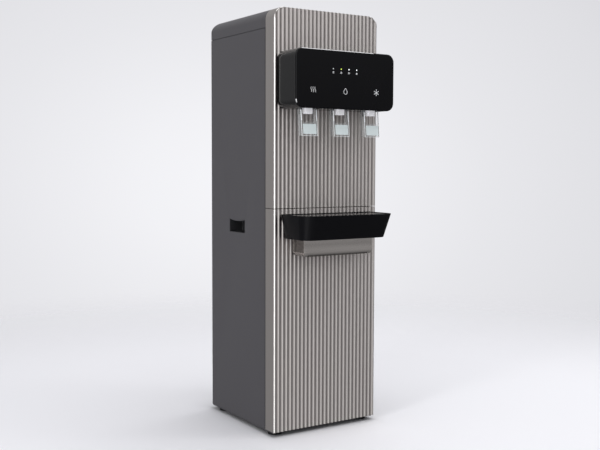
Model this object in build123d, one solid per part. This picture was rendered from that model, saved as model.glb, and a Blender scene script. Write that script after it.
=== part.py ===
from build123d import *
import math
import os

# Floor-standing reverse osmosis water dispenser, in millimetres.
# X runs to the right of the front, Y to the back, Z up. The floor is Z = 0, and X = Y = 0 is the
# middle of the whole dispenser in plan, drip tray included.

# Cabinet
body_width = 310.0
body_depth = 330.0
panel_height = 1045.0
floor_gap = 12.0
sheet = 1.5
trim_depth = 42.0
shadow_gap = 2.0
seam_height = 556.6
seam_gap = 1.6
cap_height = 46.3
cap_seam = 0.7
corner_radius = 27.0
seat = 0.3
liner = 0.3

# Flutes of the two front panels
rib_count = 26
rib_depth = 2.0
crest_share = 0.42
edge_radius = 3.5
front_wall = 1.5

# Dispensing head
head_width = 292.0
head_height = 141.0
head_reach = 83.0
head_bottom = 799.0
head_radius = 20.0
head_wall = 2.5
face_thickness = 5.0
face_bevel = 2.2
tap_pitch = 94.0
tap_hole_width = 54.0
tap_hole_front = 76.0
tap_hole_back = 31.0
led_pitch = 23.1
led_offset = -5.0
led_rise = 25.6
led_radius = 1.5
board_gap = 2.0
board_width = 150.0
board_height = 60.0
board_thickness = 1.6

# Nozzles, valves and levers
nozzle_width = 19.0
nozzle_depth = 16.0
nozzle_front = 62.0
nozzle_drop = 12.5
nozzle_bore = 8.0
valve_width = 26.0
valve_depth = 30.0
valve_height = 40.0
valve_rise = 13.0
lever_width = 46.0
lever_depth = 16.0
lever_wall = 2.5
lever_drop = 65.5
lever_lean = 7.0
lever_front = 58.0
paddle_height = 34.0
pin_radius = 1.5
pin_back = 42.5
pin_rise = 8.0
pin_play = 0.05
ear_radius = 5.0
bearing_width = 4.5
bearing_gap = 1.5

# Drip tray, its grille and the bracket under it
tray_width = 271.2
tray_reach = 113.0
tray_top = 543.0
tray_height = 60.0
tray_side_taper = 11.3
tray_front_taper = 21.0
tray_radius = 36.0
tray_wall = 2.5
tray_floor = 12.0
tray_gap = 0.8
grille_thickness = 3.2
grille_sink = 1.5
grille_ledge = 4.0
grille_play = 0.6
slot_pitch = 8.0
slot_width = 3.6
slot_margin = 22.0
slot_end = 10.0
bracket_width = 206.0
bracket_reach = 53.5
bracket_height = 43.0
bracket_radius = 12.0
bracket_wall = 2.0
rail_offset = 66.0
rail_width = 12.0
rail_height = 7.0
rail_play = 0.5

# Door hinge and catch
hinge_inset = 4.5
hinge_back_inset = 6.0
hinge_pin_radius = 2.0
hinge_play = 0.05
door_cap = 2.5
hinge_boss_radius = 4.0
hinge_boss_height = 8.0
magnet_width = 14.0
magnet_height = 30.0
magnet_end = 60.0

# Chassis
post_width = 30.0
post_depth = 19.0
deck_rise = -9.6
deck_thickness = 2.0
back_recess = 28.0
pan_inset = 8.0
pan_thickness = 2.0
pan_drop = 3.0
foot_radius = 18.0
foot_inset_x = 24.0
foot_inset_y = 36.0
foot_disc = 8.0
stem_radius = 4.0

# Side grips
grip_front = 148.0
grip_length = 81.0
grip_bottom = 487.5
grip_height = 33.8
grip_sag = 4.0
grip_depth = 38.0
cup_wall = 1.5

# Screws
screw_radius = 2.0
screw_head = 1.8
side_screw_back = 254.0
side_screw_rise = 14.0
rear_screw_end = 60.0
rear_screw_inset = 7.0

# Water treatment, behind the door
filter_radius = 28.0
filter_pitch = 60.0
filter_length = 255.0
filter_back = 82.0
neck_radius = 13.0
neck_height = 10.0
manifold_height = 30.0
manifold_depth = 60.0
tank_height = 400.0
tank_wall = 1.5
tank_corner = 32.0
tank_ring_height = 16.0
tank_side_gap = 14.0
tank_back = 222.0
port_radius = 6.0
port_bore = 2.0
line_gap = 21.0
line_inset = 4.5
line_pitch = 9.0
line_back = 142.0
pump_back = 95.0
pump_rise = 47.0
pump_motor_radius = 32.0
pump_motor_length = 82.0
pump_head_radius = 36.0
pump_head_length = 46.0
pump_x = -62.0
pump_foot_length = 100.0
pump_foot_depth = 52.0
tube_radius = 3.175
tube_bend = 16.0

# Cooling and heating
compressor_width = 124.0
compressor_depth = 124.0
compressor_height = 158.0
compressor_side_gap = 15.0
compressor_back = 206.0
mount_height = 9.0
condenser_rows = 14
condenser_pitch = 30.0
condenser_width = 216.0
condenser_tube_radius = 2.4
condenser_wire_radius = 0.8
condenser_wire_count = 24
condenser_bottom = 165.0
cold_side_gap = 21.0
foam_line_gap = 12.0
cold_riser = 30.0
boiler_wall = 1.2
coil_thickness = 6.0
foam_wall = 16.0
hot_side_gap = 10.0
tank_gap = 9.0
hot_back = 150.0
hot_share = 17 / 45
hot_height = 190.0
jacket_thickness = 9.0
neck_length = 6.0
power_board_drop = 148.7
power_board_width = 190.0
power_board_height = 125.0
power_board_stand = 10.4
power_side_gap = 23.0
power_length = 82.0
louvre_rows = 13
louvre_pitch = 20.0
louvre_drop = 58.7
louvre_length = 90.0
louvre_height = 5.0
louvre_offset = 70.0

# Places worked out from the sizes above
front = (tray_reach - body_depth - screw_head) / 2
back = front + body_depth
side = body_width / 2
sill = floor_gap
top = sill + panel_height
door_top = sill + seam_height - seam_gap / 2
upper_bottom = sill + seam_height + seam_gap / 2
shell_front = front + trim_depth + shadow_gap
cap_bottom = top - cap_height
inner_side = side - sheet
back_plate = back - back_recess
head_floor = sill + head_bottom
head_middle = head_floor + head_height / 2
head_front = front - head_reach
taps = {"hot": -tap_pitch, "ambient": 0.0, "cold": tap_pitch}
pin_y = front - pin_back
pin_z = head_floor + pin_rise
valve_bottom = head_floor + valve_rise
valve_top = valve_bottom + valve_height
valve_line = (valve_bottom + valve_top) / 2
tray_bottom = sill + tray_top - tray_height
bracket_top = tray_bottom - seat
deck_z = sill + seam_height + deck_rise
hinge_x = side - hinge_inset
hinge_y = front + trim_depth - hinge_back_inset
pan_top = sill - pan_drop + pan_thickness
pump_line_y = front + line_back
filter_y = front + filter_back
manifold_top = deck_z - seat
manifold_bottom = manifold_top - manifold_height
port_z = manifold_bottom + manifold_height / 2
deck_top = deck_z + deck_thickness
compressor_x = side - compressor_side_gap - compressor_width / 2
tank_radius = (body_width - compressor_side_gap - compressor_width - line_gap - tank_side_gap) / 2
tank_x = -side + tank_side_gap + tank_radius
tank_room = (body_width - hot_side_gap - tank_gap - cold_side_gap) / 2
jacket_radius = tank_room * hot_share
hot_radius = jacket_radius - jacket_thickness
hot_x = -side + hot_side_gap + jacket_radius
foam_half = tank_room * (1 - hot_share)
cold_back = filter_back + foam_line_gap + foam_half
cold_radius = foam_half - coil_thickness - foam_wall
cold_x = side - cold_side_gap - foam_half
cold_height = valve_line - cold_riser - neck_length - 2 * foam_wall - deck_top


def block(x0, x1, y0, y1, z0, z1):
    return Pos((x0 + x1) / 2, (y0 + y1) / 2, (z0 + z1) / 2) * Box(x1 - x0, y1 - y0, z1 - z0)


def post(x, y, z0, z1, radius):
    return Pos(x, y, (z0 + z1) / 2) * Cylinder(radius, z1 - z0)


def rod_y(x, z, y0, y1, radius):
    return Pos(x, (y0 + y1) / 2, z) * Rot(90, 0, 0) * Cylinder(radius, y1 - y0)


def rod_x(y, z, x0, x1, radius):
    return Pos((x0 + x1) / 2, y, z) * Rot(0, 90, 0) * Cylinder(radius, x1 - x0)


def arch(half_width, y0, y1, z0, z1, radius):
    """A block whose two upper edges, running front to back, are rounded."""
    body = block(-half_width, half_width, y0, y1, z0, z1)
    return fillet(body.edges().filter_by(Axis.Y).group_by(Axis.Z)[-1], radius)


def rounded_plate(half_width, y0, y1, z0, z1, radius):
    """A plate facing the front, with all four corners rounded."""
    body = block(-half_width, half_width, y0, y1, z0, z1)
    return fillet(body.edges().filter_by(Axis.Y), radius)


def tube_path(*points):
    return FilletPolyline(*points, radius=tube_bend)


def tube(radius, *points):
    path = tube_path(*points)
    section = Plane(origin=path @ 0, z_dir=path % 0) * Circle(radius)
    return sweep(section, path=path)


def cut(body, *tools):
    for tool in tools:
        body = body - tool
    return body


def join(*pieces):
    body = pieces[0]
    for piece in pieces[1:]:
        body = body + piece
    return body


def save(name, *solids):
    found = [solid for shape in solids for solid in shape.solids()]
    shape = found[0] if len(found) == 1 else Compound(children=found)
    export_step(shape, f"parts/{name}.step")


def fluted_block(z0, z1):
    """A block as deep as the trim, whose front is a smooth wave of vertical flutes."""
    pitch = (body_width - 2 * edge_radius) / rib_count
    half_crest = crest_share * pitch / 2
    turn = 2 * math.atan(2 * rib_depth / pitch)
    crest_radius = half_crest / math.sin(turn)
    flank = front + crest_radius * (1 - math.cos(turn))
    mid_x = crest_radius * math.sin(turn / 2)
    mid_y = front + crest_radius * (1 - math.cos(turn / 2))
    corner = edge_radius * (1 - math.sqrt(0.5))
    first = -side + edge_radius
    last = side - edge_radius
    rear = front + trim_depth
    edges = [
        Line((-side, rear), (-side, front + edge_radius)),
        ThreePointArc((-side, front + edge_radius), (-side + corner, front + corner), (first, front)),
        ThreePointArc((first, front), (first + mid_x, mid_y), (first + half_crest, flank)),
    ]
    for flute in range(rib_count):
        crest = first + flute * pitch
        start = (crest + half_crest, flank)
        end = (crest + pitch - half_crest, flank)
        edges.append(ThreePointArc(start, (crest + pitch / 2, front + rib_depth), end))
        if flute < rib_count - 1:
            over = (crest + pitch, front)
            edges.append(ThreePointArc(end, over, (crest + pitch + half_crest, flank)))
    edges += [
        ThreePointArc((last - half_crest, flank), (last - mid_x, mid_y), (last, front)),
        ThreePointArc((last, front), (side - corner, front + corner), (side, front + edge_radius)),
        Line((side, front + edge_radius), (side, rear)),
        Line((side, rear), (-side, rear)),
    ]
    face = make_face(edges)
    return Pos(0, 0, z0) * extrude(face, amount=z1 - z0)


def upper_front_panel():
    rear = front + trim_depth
    body = fluted_block(upper_bottom, top) & arch(side, front - 1, rear + 1, upper_bottom, top, corner_radius)
    hollow = arch(inner_side, front + rib_depth + front_wall, rear + 1, upper_bottom - 1, top - sheet,
                  corner_radius - sheet)
    z = valve_line
    holes = [rod_y(x, z, front - 1, rear, tube_radius + 4) for x in taps.values()]
    return cut(body, hollow, *holes)


def lower_front_door():
    rear = front + trim_depth
    body = fluted_block(sill, door_top)
    hollow = block(-inner_side, inner_side, front + rib_depth + front_wall, rear + 1, sill + door_cap,
                   door_top - door_cap)
    body = body - hollow
    boss = hinge_boss_height + door_cap
    low = post(hinge_x, hinge_y, sill, sill + boss, hinge_boss_radius)
    high = post(hinge_x, hinge_y, door_top - boss, door_top, hinge_boss_radius)
    bore = post(hinge_x, hinge_y, sill - 1, door_top + 1, hinge_pin_radius + hinge_play)
    tabs = []
    for z in (sill + magnet_end, door_top - magnet_end):
        tabs.append(block(-inner_side, -side + post_width, rear - 8, rear - 8 + sheet, z - magnet_height / 2,
                          z + magnet_height / 2))
    stud_holes = [rod_y(x, bracket_stud_z(), front - 1, rear, 3.2) for x in (-rail_offset, rail_offset)]
    return cut(join(body, low, high, *tabs), bore, *stud_holes)


def bracket_stud_z():
    return bracket_top - bracket_height / 2


def side_panel(sign):
    """A steel side with narrow inward flanges, as the left one for sign -1."""
    flange = 14.0
    skin = block(-side, -inner_side, shell_front, back, sill, cap_bottom - cap_seam)
    front_flange = block(-side, -side + flange, shell_front, shell_front + sheet, sill, cap_bottom - cap_seam)
    rear_flange = block(-side, -side + flange, back - sheet, back, sill, cap_bottom - cap_seam)
    screw_hole = rod_x(front + side_screw_back, sill + side_screw_rise, -side - 1, -inner_side + 1,
                       screw_radius)
    body = cut(join(skin, front_flange, rear_flange), grip_opening(-side - 1, -inner_side + 1), screw_hole)
    return body if sign < 0 else mirror(body, about=Plane.YZ)


def grip_opening(x0, x1):
    """The finger opening: a rectangle whose upper edge sags in the middle."""
    y0 = front + grip_front
    y1 = y0 + grip_length
    z0 = sill + grip_bottom
    z1 = z0 + grip_height
    outline = [
        Line((y0, z1), (y0, z0)),
        Line((y0, z0), (y1, z0)),
        Line((y1, z0), (y1, z1)),
        ThreePointArc((y1, z1), ((y0 + y1) / 2, z1 - grip_sag), (y0, z1)),
    ]
    face = Plane(origin=(x0, 0, 0), x_dir=(0, 1, 0), z_dir=(1, 0, 0)) * make_face(outline)
    return extrude(face, amount=x1 - x0, dir=(1, 0, 0))


def grip_cup(sign):
    lip = 5.0
    y0 = front + grip_front
    y1 = y0 + grip_length
    z0 = sill + grip_bottom
    z1 = z0 + grip_height
    x0 = -inner_side
    x1 = -side + grip_depth
    flange = block(x0, x0 + cup_wall, y0 - lip, y1 + lip, z0 - lip, z1 + lip)
    outer = block(x0, x1 + cup_wall, y0 - cup_wall, y1 + cup_wall, z0 - cup_wall, z1 + cup_wall)
    body = join(flange, outer) - block(x0 - 1, x1, y0, y1, z0, z1)
    return body if sign < 0 else mirror(body, about=Plane.YZ)


def top_cover():
    """The rounded cap, open below and towards the front panel."""
    low = cap_bottom
    across = arch(side, shell_front, back, low, top, corner_radius)
    along = block(-side, side, shell_front, back, low, top)
    along = fillet(along.edges().filter_by(Axis.X).group_by(Axis.Y)[-1].group_by(Axis.Z)[-1], corner_radius)
    inner_across = arch(inner_side, shell_front + sheet, back - sheet, low - 1, top - sheet,
                        corner_radius - sheet)
    inner_along = block(-inner_side, inner_side, shell_front + sheet, back - sheet, low - 1, top - sheet)
    inner_along = fillet(inner_along.edges().filter_by(Axis.X).group_by(Axis.Y)[-1].group_by(Axis.Z)[-1],
                         corner_radius - sheet)
    return (across & along) - (inner_across & inner_along)


def base_pan():
    bottom = sill - pan_drop
    plate = block(-side + 1, side - 1, front + pan_inset, back - liner, bottom, pan_top)
    body = plate
    for sign in (-1, 1):
        x = sorted((sign * (inner_side - liner), sign * (inner_side - liner - sheet)))
        body = body + block(*x, post_back() + seat, back_plate - sheet - liner, bottom, sill + 20)
    bores = [post(x, y, bottom - 1, pan_top + 1, stem_radius) for x, y in foot_places()]
    screw_holes = rod_x(front + side_screw_back, sill + side_screw_rise, -side, side, screw_radius)
    return cut(body, post(hinge_x, hinge_y, bottom - 1, pan_top + 1, hinge_pin_radius), screw_holes, *bores)


def foot_places():
    x = side - foot_inset_x
    return [(-x, front + foot_inset_y), (x, front + foot_inset_y), (-x, back - foot_inset_y),
            (x, back - foot_inset_y)]


def levelling_feet():
    feet = []
    for x, y in foot_places():
        disc = post(x, y, 0, foot_disc, foot_radius)
        disc = chamfer(disc.edges().group_by(Axis.Z)[-1], 1.5)
        feet.append(disc + post(x, y, foot_disc - 1, pan_top, stem_radius))
    return feet


def post_front():
    return shell_front + sheet + seat


def post_back():
    return post_front() + post_depth


def chassis_post(sign):
    outer = inner_side - liner
    body = block(-outer, -outer + post_width, post_front(), post_back(), pan_top, cap_bottom - cap_seam)
    core = block(-outer + sheet, -outer + post_width - sheet, post_front() + sheet, post_back() - sheet,
                 pan_top - 1, cap_bottom + 1)
    body = body - core
    return body if sign < 0 else mirror(body, about=Plane.YZ)


def mid_deck():
    """The shelf between the two compartments, with a flange down each side."""
    wide = inner_side - liner
    notch = post_width + liner
    rear = back_plate - sheet - liner
    body = block(-wide, wide, post_front(), rear, deck_z, deck_z + deck_thickness)
    for sign in (-1, 1):
        flange_x = sorted((sign * wide, sign * (wide - deck_thickness)))
        notch_x = sorted((sign * (wide + 1), sign * (wide - notch)))
        body = body + block(*flange_x, post_back(), rear, deck_z - 15, deck_z)
        body = body - block(*notch_x, post_front() - 1, post_back() + liner, deck_z - 16, deck_z + 5)
    return body - post(0, filter_y, deck_z - 1, deck_z + deck_thickness + 1, tube_radius + 1)


def hinge_plate_bottom():
    return upper_bottom + seam_gap


def upper_hinge_plate():
    z0 = hinge_plate_bottom()
    z1 = z0 + 2.5
    inner_x = side - post_width
    leaf = block(inner_x, inner_side - 0.7, hinge_y - 8, shell_front - seat, z0, z1)
    tongue = block(inner_x, side - 15, shell_front - 1, post_front(), z0, z1)
    heel = block(inner_x, side - 15, post_front() - 2.5, post_front(), z0, z0 + 20)
    return cut(join(leaf, tongue, heel), post(hinge_x, hinge_y, z0 - 1, z1 + 1, hinge_pin_radius))


def hinge_pins():
    depth = door_cap + hinge_boss_height - 1
    low = post(hinge_x, hinge_y, sill - pan_drop, sill + depth, hinge_pin_radius)
    high = post(hinge_x, hinge_y, door_top - depth, hinge_plate_bottom() + 2.5, hinge_pin_radius)
    return [low, high]


def door_magnets():
    x0 = -side + post_width - magnet_width
    y0 = front + trim_depth - 8 + sheet + seat
    magnets = []
    for z in (sill + magnet_end, door_top - magnet_end):
        magnets.append(block(x0, x0 + magnet_width, y0, post_front(), z - magnet_height / 2 + 1,
                             z + magnet_height / 2 - 1))
    return magnets


def rear_panel():
    """The recessed back, with louvres above, stand-offs for the condenser and holes for the fittings."""
    wide = inner_side - liner
    z1 = cap_bottom - cap_seam
    body = block(-wide, wide, back_plate - sheet, back_plate, pan_top, z1)
    for sign in (-1, 1):
        x = sorted((sign * wide, sign * (wide - sheet)))
        body = body + block(*x, back_plate, back - sheet - seat, pan_top, z1)
    louvres = []
    for row in range(louvre_rows):
        z = cap_bottom - louvre_drop - row * louvre_pitch
        for x in (-louvre_offset, louvre_offset):
            half = louvre_length / 2
            louvres.append(block(x - half, x + half, back_plate - 3, back_plate + 1, z, z + louvre_height))
    holes = [rod_y(x, z, back_plate - 3, back_plate + 1, radius) for x, z, radius in rear_holes()]
    socket = block(*power_x(), back_plate - 3, back_plate + 1, *power_z())
    body = cut(body, *louvres, *holes, socket)
    stand = condenser_y() - condenser_tube_radius - seat
    for x in (-condenser_stand_x(), condenser_stand_x()):
        for row in (1, condenser_rows - 2):
            body = body + rod_y(x, condenser_z(row), back_plate - 1, stand, 3)
    return body


def rear_holes():
    spigots = [(x, drain_cap_z(), 8) for x in (hot_x, cold_x)]
    fittings = [(x, z, 8) for x, z in (feed_port(), reject_port())]
    stubs = [(-condenser_stub_x(), condenser_z(row), condenser_tube_radius + 1)
             for row in (0, condenser_rows - 1)]
    return spigots + fittings + stubs


def drain_cap_z():
    return sill + 640


def feed_port():
    return tank_x + tank_radius + line_inset, sill + 60


def reject_port():
    return feed_port()[0] + line_pitch, sill + 100


def power_x():
    end = side - power_side_gap
    return end - power_length, end


def power_z():
    return sill + 40, sill + 90


def condenser_y():
    return back_plate + back_recess / 2


def condenser_z(row):
    return sill + condenser_bottom + row * condenser_pitch


def condenser_run():
    return (condenser_width - condenser_pitch) / 2


def condenser_stub_x():
    return condenser_run() + 10


def condenser_stand_x():
    return condenser_run() - 4


def condenser_tube():
    """One unbroken tube, folded to and fro, whose two ends turn in through the back."""
    run = condenser_run()
    y = condenser_y()
    bend = 10.0
    inset = bend * (1 - math.sqrt(0.5))
    stub = condenser_stub_x()
    inside = back_plate - sheet - 10
    z = condenser_z(0)
    edges = [Line((-stub, inside, z), (-stub, y - bend, z)),
             ThreePointArc((-stub, y - bend, z), (-stub + inset, y - inset, z), (-run, y, z))]
    for row in range(condenser_rows):
        z = condenser_z(row)
        way = 1 if row % 2 == 0 else -1
        edges.append(Line((-way * run, y, z), (way * run, y, z)))
        if row < condenser_rows - 1:
            half = condenser_pitch / 2
            edges.append(ThreePointArc((way * run, y, z), (way * (run + half), y, z + half),
                                       (way * run, y, z + condenser_pitch)))
    edges.append(ThreePointArc((-run, y, z), (-stub + inset, y - inset, z), (-stub, y - bend, z)))
    edges.append(Line((-stub, y - bend, z), (-stub, inside, z)))
    path = Wire(edges)
    section = Plane(origin=path @ 0, z_dir=path % 0) * Circle(condenser_tube_radius)
    print("condenser least gap", condenser_pitch - 2 * condenser_tube_radius)
    return sweep(section, path=path)


def condenser_wires():
    wires = []
    span = 2 * (condenser_stand_x() - 5)
    for index in range(condenser_wire_count):
        x = -span / 2 + index * span / (condenser_wire_count - 1)
        offset = condenser_tube_radius + condenser_wire_radius + 0.1
        y = condenser_y() + (offset if index % 2 == 0 else -offset)
        wires.append(post(x, y, condenser_z(0) - 8, condenser_z(condenser_rows - 1) + 8,
                          condenser_wire_radius))
    return wires


def head_housing():
    """The shell behind the glossy face, with a web that carries the valves and bearings for the pins."""
    half = head_width / 2
    y0 = head_front + face_thickness
    y1 = front - seat
    z1 = head_floor + head_height
    body = rounded_plate(half, y0, y1, head_floor, z1, head_radius)
    body = body - rounded_plate(half - head_wall, y0 - 1, y1 + 1, head_floor + head_wall, z1 - head_wall,
                                head_radius - head_wall)
    inner = half - head_wall + 0.5
    body = body + block(-inner, inner, valve_front(), valve_front() + valve_depth, valve_top, valve_top + 2)
    holes = []
    for x in taps.values():
        for sign in (-1, 1):
            near = x + sign * (lever_width / 2 + bearing_gap)
            far = near + sign * bearing_width
            body = body + block(*sorted((near, far)), pin_y - ear_radius, pin_y + ear_radius,
                                head_floor + head_wall - 0.5, pin_z + ear_radius)
        holes.append(rod_x(pin_y, pin_z, x - pin_half(), x + pin_half(), pin_radius))
        holes.append(block(x - tap_hole_width / 2, x + tap_hole_width / 2, front - tap_hole_front,
                           front - tap_hole_back, head_floor - 1, head_floor + head_wall))
    return cut(body, *holes)


def pin_half():
    return lever_width / 2 + bearing_gap + bearing_width


def valve_front():
    return front - nozzle_front - 2


def head_face():
    half = head_width / 2
    back_y = head_front + face_thickness
    body = rounded_plate(half, head_front, back_y, head_floor, head_floor + head_height, head_radius)
    body = chamfer(body.faces().sort_by(Axis.Y)[0].edges(), face_bevel)
    for x in (-1, 1):
        for z in (-1, 1):
            post_x = led_offset + x * (board_width / 2 - 6)
            post_z = head_middle + z * (board_height / 2 - 5)
            body = body + rod_y(post_x, post_z, back_y - 1, back_y + board_gap, 3)
    holes = [rod_y(x, head_middle + led_rise, head_front - 1, back_y + 1, led_radius) for x in led_places()]
    return cut(body, *holes)


def led_places():
    return [led_offset + (index - 1.5) * led_pitch for index in range(4)]


def indicator_lenses():
    end = head_front + face_thickness + board_gap - seat
    return [rod_y(x, head_middle + led_rise, head_front, end, led_radius) for x in led_places()]


def display_board():
    y0 = head_front + face_thickness + board_gap
    return block(led_offset - board_width / 2, led_offset + board_width / 2, y0, y0 + board_thickness,
                 head_middle - board_height / 2, head_middle + board_height / 2)


def nozzle(x):
    y0 = front - nozzle_front
    y1 = y0 + nozzle_depth
    body = block(x - nozzle_width / 2, x + nozzle_width / 2, y0, y1, head_floor - nozzle_drop, valve_bottom)
    body = fillet(body.edges().filter_by(Axis.Z), 2)
    return body - post(x, (y0 + y1) / 2, head_floor - nozzle_drop - 1, valve_bottom + 1, nozzle_bore / 2)


def valve_port_y():
    return valve_front() + valve_depth + 8


def dispense_valves():
    valves = []
    for x in taps.values():
        body = block(x - valve_width / 2, x + valve_width / 2, valve_front(), valve_front() + valve_depth,
                     valve_bottom, valve_top)
        valves.append(body + rod_y(x, valve_line, valve_front() + valve_depth - 1, valve_port_y(), 5))
    return valves


def lever_front_y(z):
    """The lever's slanted front at height z."""
    return front - lever_front - lever_lean * (head_floor - z) / lever_drop


def lever(x):
    """A clear U of two side walls and a front paddle, hung from ears on the pin."""
    low = head_floor - lever_drop
    high = head_floor + 2
    mid = low + paddle_height
    half = lever_width / 2

    def slab(z0, z1, depth, x0, x1):
        corners = [(lever_front_y(z0), z0), (lever_front_y(z0) + depth, z0), (lever_front_y(z1) + depth, z1),
                   (lever_front_y(z1), z1)]
        outline = make_face(Polyline(*corners, close=True))
        face = Plane(origin=(x0, 0, 0), x_dir=(0, 1, 0), z_dir=(1, 0, 0)) * outline
        return extrude(face, amount=x1 - x0, dir=(1, 0, 0))

    body = slab(low, mid, lever_wall, x - half, x + half)
    for x0 in (x - half, x + half - lever_wall):
        x1 = x0 + lever_wall
        wall = slab(low, high, lever_depth, x0, x1)
        neck = block(x0, x1, pin_y - ear_radius, pin_y + 0.5, head_floor - 4, pin_z)
        body = join(body, wall, neck, rod_x(pin_y, pin_z, x0, x1, ear_radius))
    return body - rod_x(pin_y, pin_z, x - half - 1, x + half + 1, pin_radius + pin_play)


def lever_pins():
    return [rod_x(pin_y, pin_z, x - pin_half(), x + pin_half(), pin_radius) for x in taps.values()]


def lever_springs():
    """Each a sleeve in the place of a close-wound torsion spring."""
    springs = []
    for x in taps.values():
        start = x - lever_width / 2 + lever_wall + 1.5
        sleeve = rod_x(pin_y, pin_z, start, start + 7, pin_radius + 1.6)
        springs.append(sleeve - rod_x(pin_y, pin_z, start - 1, start + 8, pin_radius + 0.1))
    return springs


def lever_switches():
    switches = []
    for x in taps.values():
        x0 = x + valve_width / 2
        switches.append(block(x0, x0 + 6, valve_front() + 2, valve_front() + 14, valve_bottom + 3,
                              valve_bottom + 20))
    return switches


def tray_plan(z, inset):
    """The tray's outline in plan at height z, drawn in by inset."""
    rise = (z - tray_bottom) / tray_height
    half = tray_width / 2 - tray_side_taper * (1 - rise) - inset
    near = front - tray_reach + tray_front_taper * (1 - rise) + inset
    far = front - tray_gap - inset
    radius = tray_radius - 8 * (1 - rise) - inset
    corner = radius * (1 - math.sqrt(0.5))
    outline = [
        Line((-half, far), (-half, near + radius)),
        ThreePointArc((-half, near + radius), (-half + corner, near + corner), (-half + radius, near)),
        Line((-half + radius, near), (half - radius, near)),
        ThreePointArc((half - radius, near), (half - corner, near + corner), (half, near + radius)),
        Line((half, near + radius), (half, far)),
        Line((half, far), (-half, far)),
    ]
    return Pos(0, 0, z) * make_face(outline)


def tray_body(z0, inset0, z1, inset1):
    return loft([tray_plan(z0, inset0), tray_plan(z1, inset1)], ruled=True)


def ledge_z():
    return tray_bottom + tray_height - grille_sink - grille_thickness - seat


def drip_tray():
    rim = tray_bottom + tray_height
    body = tray_body(tray_bottom, 0, rim, 0)
    well = tray_body(tray_bottom + tray_floor, tray_wall, ledge_z() + 0.1, tray_wall + grille_ledge)
    recess = tray_body(ledge_z(), tray_wall, rim + 1, tray_wall)
    grooves = []
    for x in (-rail_offset, rail_offset):
        half = rail_width / 2 + rail_play
        grooves.append(block(x - half, x + half, rail_front() - rail_play, front, tray_bottom - 1,
                             tray_bottom + rail_height + rail_play))
    return cut(body, well, recess, *grooves)


def drip_grille():
    z0 = ledge_z() + seat
    z1 = z0 + grille_thickness
    inset = tray_wall + grille_play
    body = tray_body(z0, inset, z1, inset)
    reach = tray_width / 2 - slot_margin
    near = front - tray_reach + slot_end + tray_wall
    far = front - tray_gap - slot_end
    middle = (near + far) / 2
    count = int(2 * reach / slot_pitch)
    slots = []
    for index in range(count):
        x = (index - (count - 1) / 2) * slot_pitch
        for y0, y1 in ((near, middle - 3), (middle + 3, far)):
            slots.append(block(x - slot_width / 2, x + slot_width / 2, y0, y1, z0 - 1, z1 + 1))
    return cut(body, *slots)


def rail_front():
    return front - bracket_reach + 5


def tray_bracket():
    """A hollow shelf bracket with two rails on top and two studs behind."""
    half = bracket_width / 2
    near = front - bracket_reach
    far = front - 0.2
    low = bracket_top - bracket_height
    outer = block(-half, half, near, far, low, bracket_top)
    outer = fillet(outer.edges().filter_by(Axis.Y).group_by(Axis.Z)[0], bracket_radius)
    inner = block(-half + bracket_wall, half - bracket_wall, near + bracket_wall, far + 1, low + bracket_wall,
                  bracket_top - bracket_wall)
    inner = fillet(inner.edges().filter_by(Axis.Y).group_by(Axis.Z)[0], bracket_radius - bracket_wall)
    body = outer - inner
    for x in (-rail_offset, rail_offset):
        half_rail = rail_width / 2
        body = body + block(x - half_rail, x + half_rail, rail_front(), front - 3, bracket_top - 0.5,
                            tray_bottom + rail_height)
        body = body + rod_y(x, bracket_stud_z(), near + 1, front + rib_depth + front_wall + 5, 3)
    return body


def compressor():
    """A round steel shell on a foot plate."""
    y = front + compressor_back
    plate_z = pan_top + mount_height
    z1 = plate_z + compressor_height
    shell = post(compressor_x, y, plate_z, z1, compressor_width / 2 - 3)
    shell = fillet(shell.edges(), 24)
    half_x = compressor_width / 2
    half_y = compressor_depth / 2
    plate = block(compressor_x - half_x, compressor_x + half_x, y - half_y, y + half_y, plate_z, plate_z + 3)
    seat_ring = post(compressor_x, y, plate_z + 2, plate_z + 30, half_x - 20)
    return join(plate, shell, seat_ring)


def compressor_mounts():
    x = compressor_width / 2 - 10
    y = compressor_depth / 2 - 10
    base = front + compressor_back
    return [post(compressor_x + i * x, base + j * y, pan_top, pan_top + mount_height, 9)
            for i in (-1, 1) for j in (-1, 1)]


def booster_pump():
    y = front + pump_back
    z = pan_top + pump_rise
    joint_x = pump_x + pump_motor_length
    motor = rod_x(y, z, pump_x, joint_x, pump_motor_radius)
    head = rod_x(y, z, joint_x, joint_x + pump_head_length, pump_head_radius)
    half = pump_foot_length / 2
    foot = block(-half, half, y - pump_foot_depth / 2, y + pump_foot_depth / 2, pan_top, z - 20)
    return join(motor, head, foot)


def vessel(x, y, z0, z1, radius, corner, wall):
    """A closed round tank with rounded ends, and the space inside it."""
    outer = fillet(post(x, y, z0, z1, radius).edges(), corner)
    inner = fillet(post(x, y, z0 + wall, z1 - wall, radius - wall).edges(), corner - wall)
    return outer, inner


def storage_tank():
    """The pressure tank for purified water, standing on its own ring, with its port on top."""
    y = front + tank_back
    z0 = pan_top + 10
    z1 = pan_top + tank_height
    body, space = vessel(tank_x, y, z0, z1, tank_radius, tank_corner, tank_wall)
    ring = post(tank_x, y, pan_top, pan_top + tank_ring_height, tank_radius - 20)
    ring = ring - post(tank_x, y, pan_top - 1, z0 - 1, tank_radius - 26)
    port = post(tank_x, y, z1 - tank_wall / 2, tank_port_z(), port_radius)
    bore = post(tank_x, y, z1 - 2 * tank_wall, tank_port_z() + 1, port_bore)
    return cut(join(body, ring, port), space, bore)


def tank_port_z():
    return pan_top + tank_height + 14


def filter_places():
    return [(index - 1.5) * filter_pitch for index in range(4)]


def manifold_back():
    return filter_y + manifold_depth / 2


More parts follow.
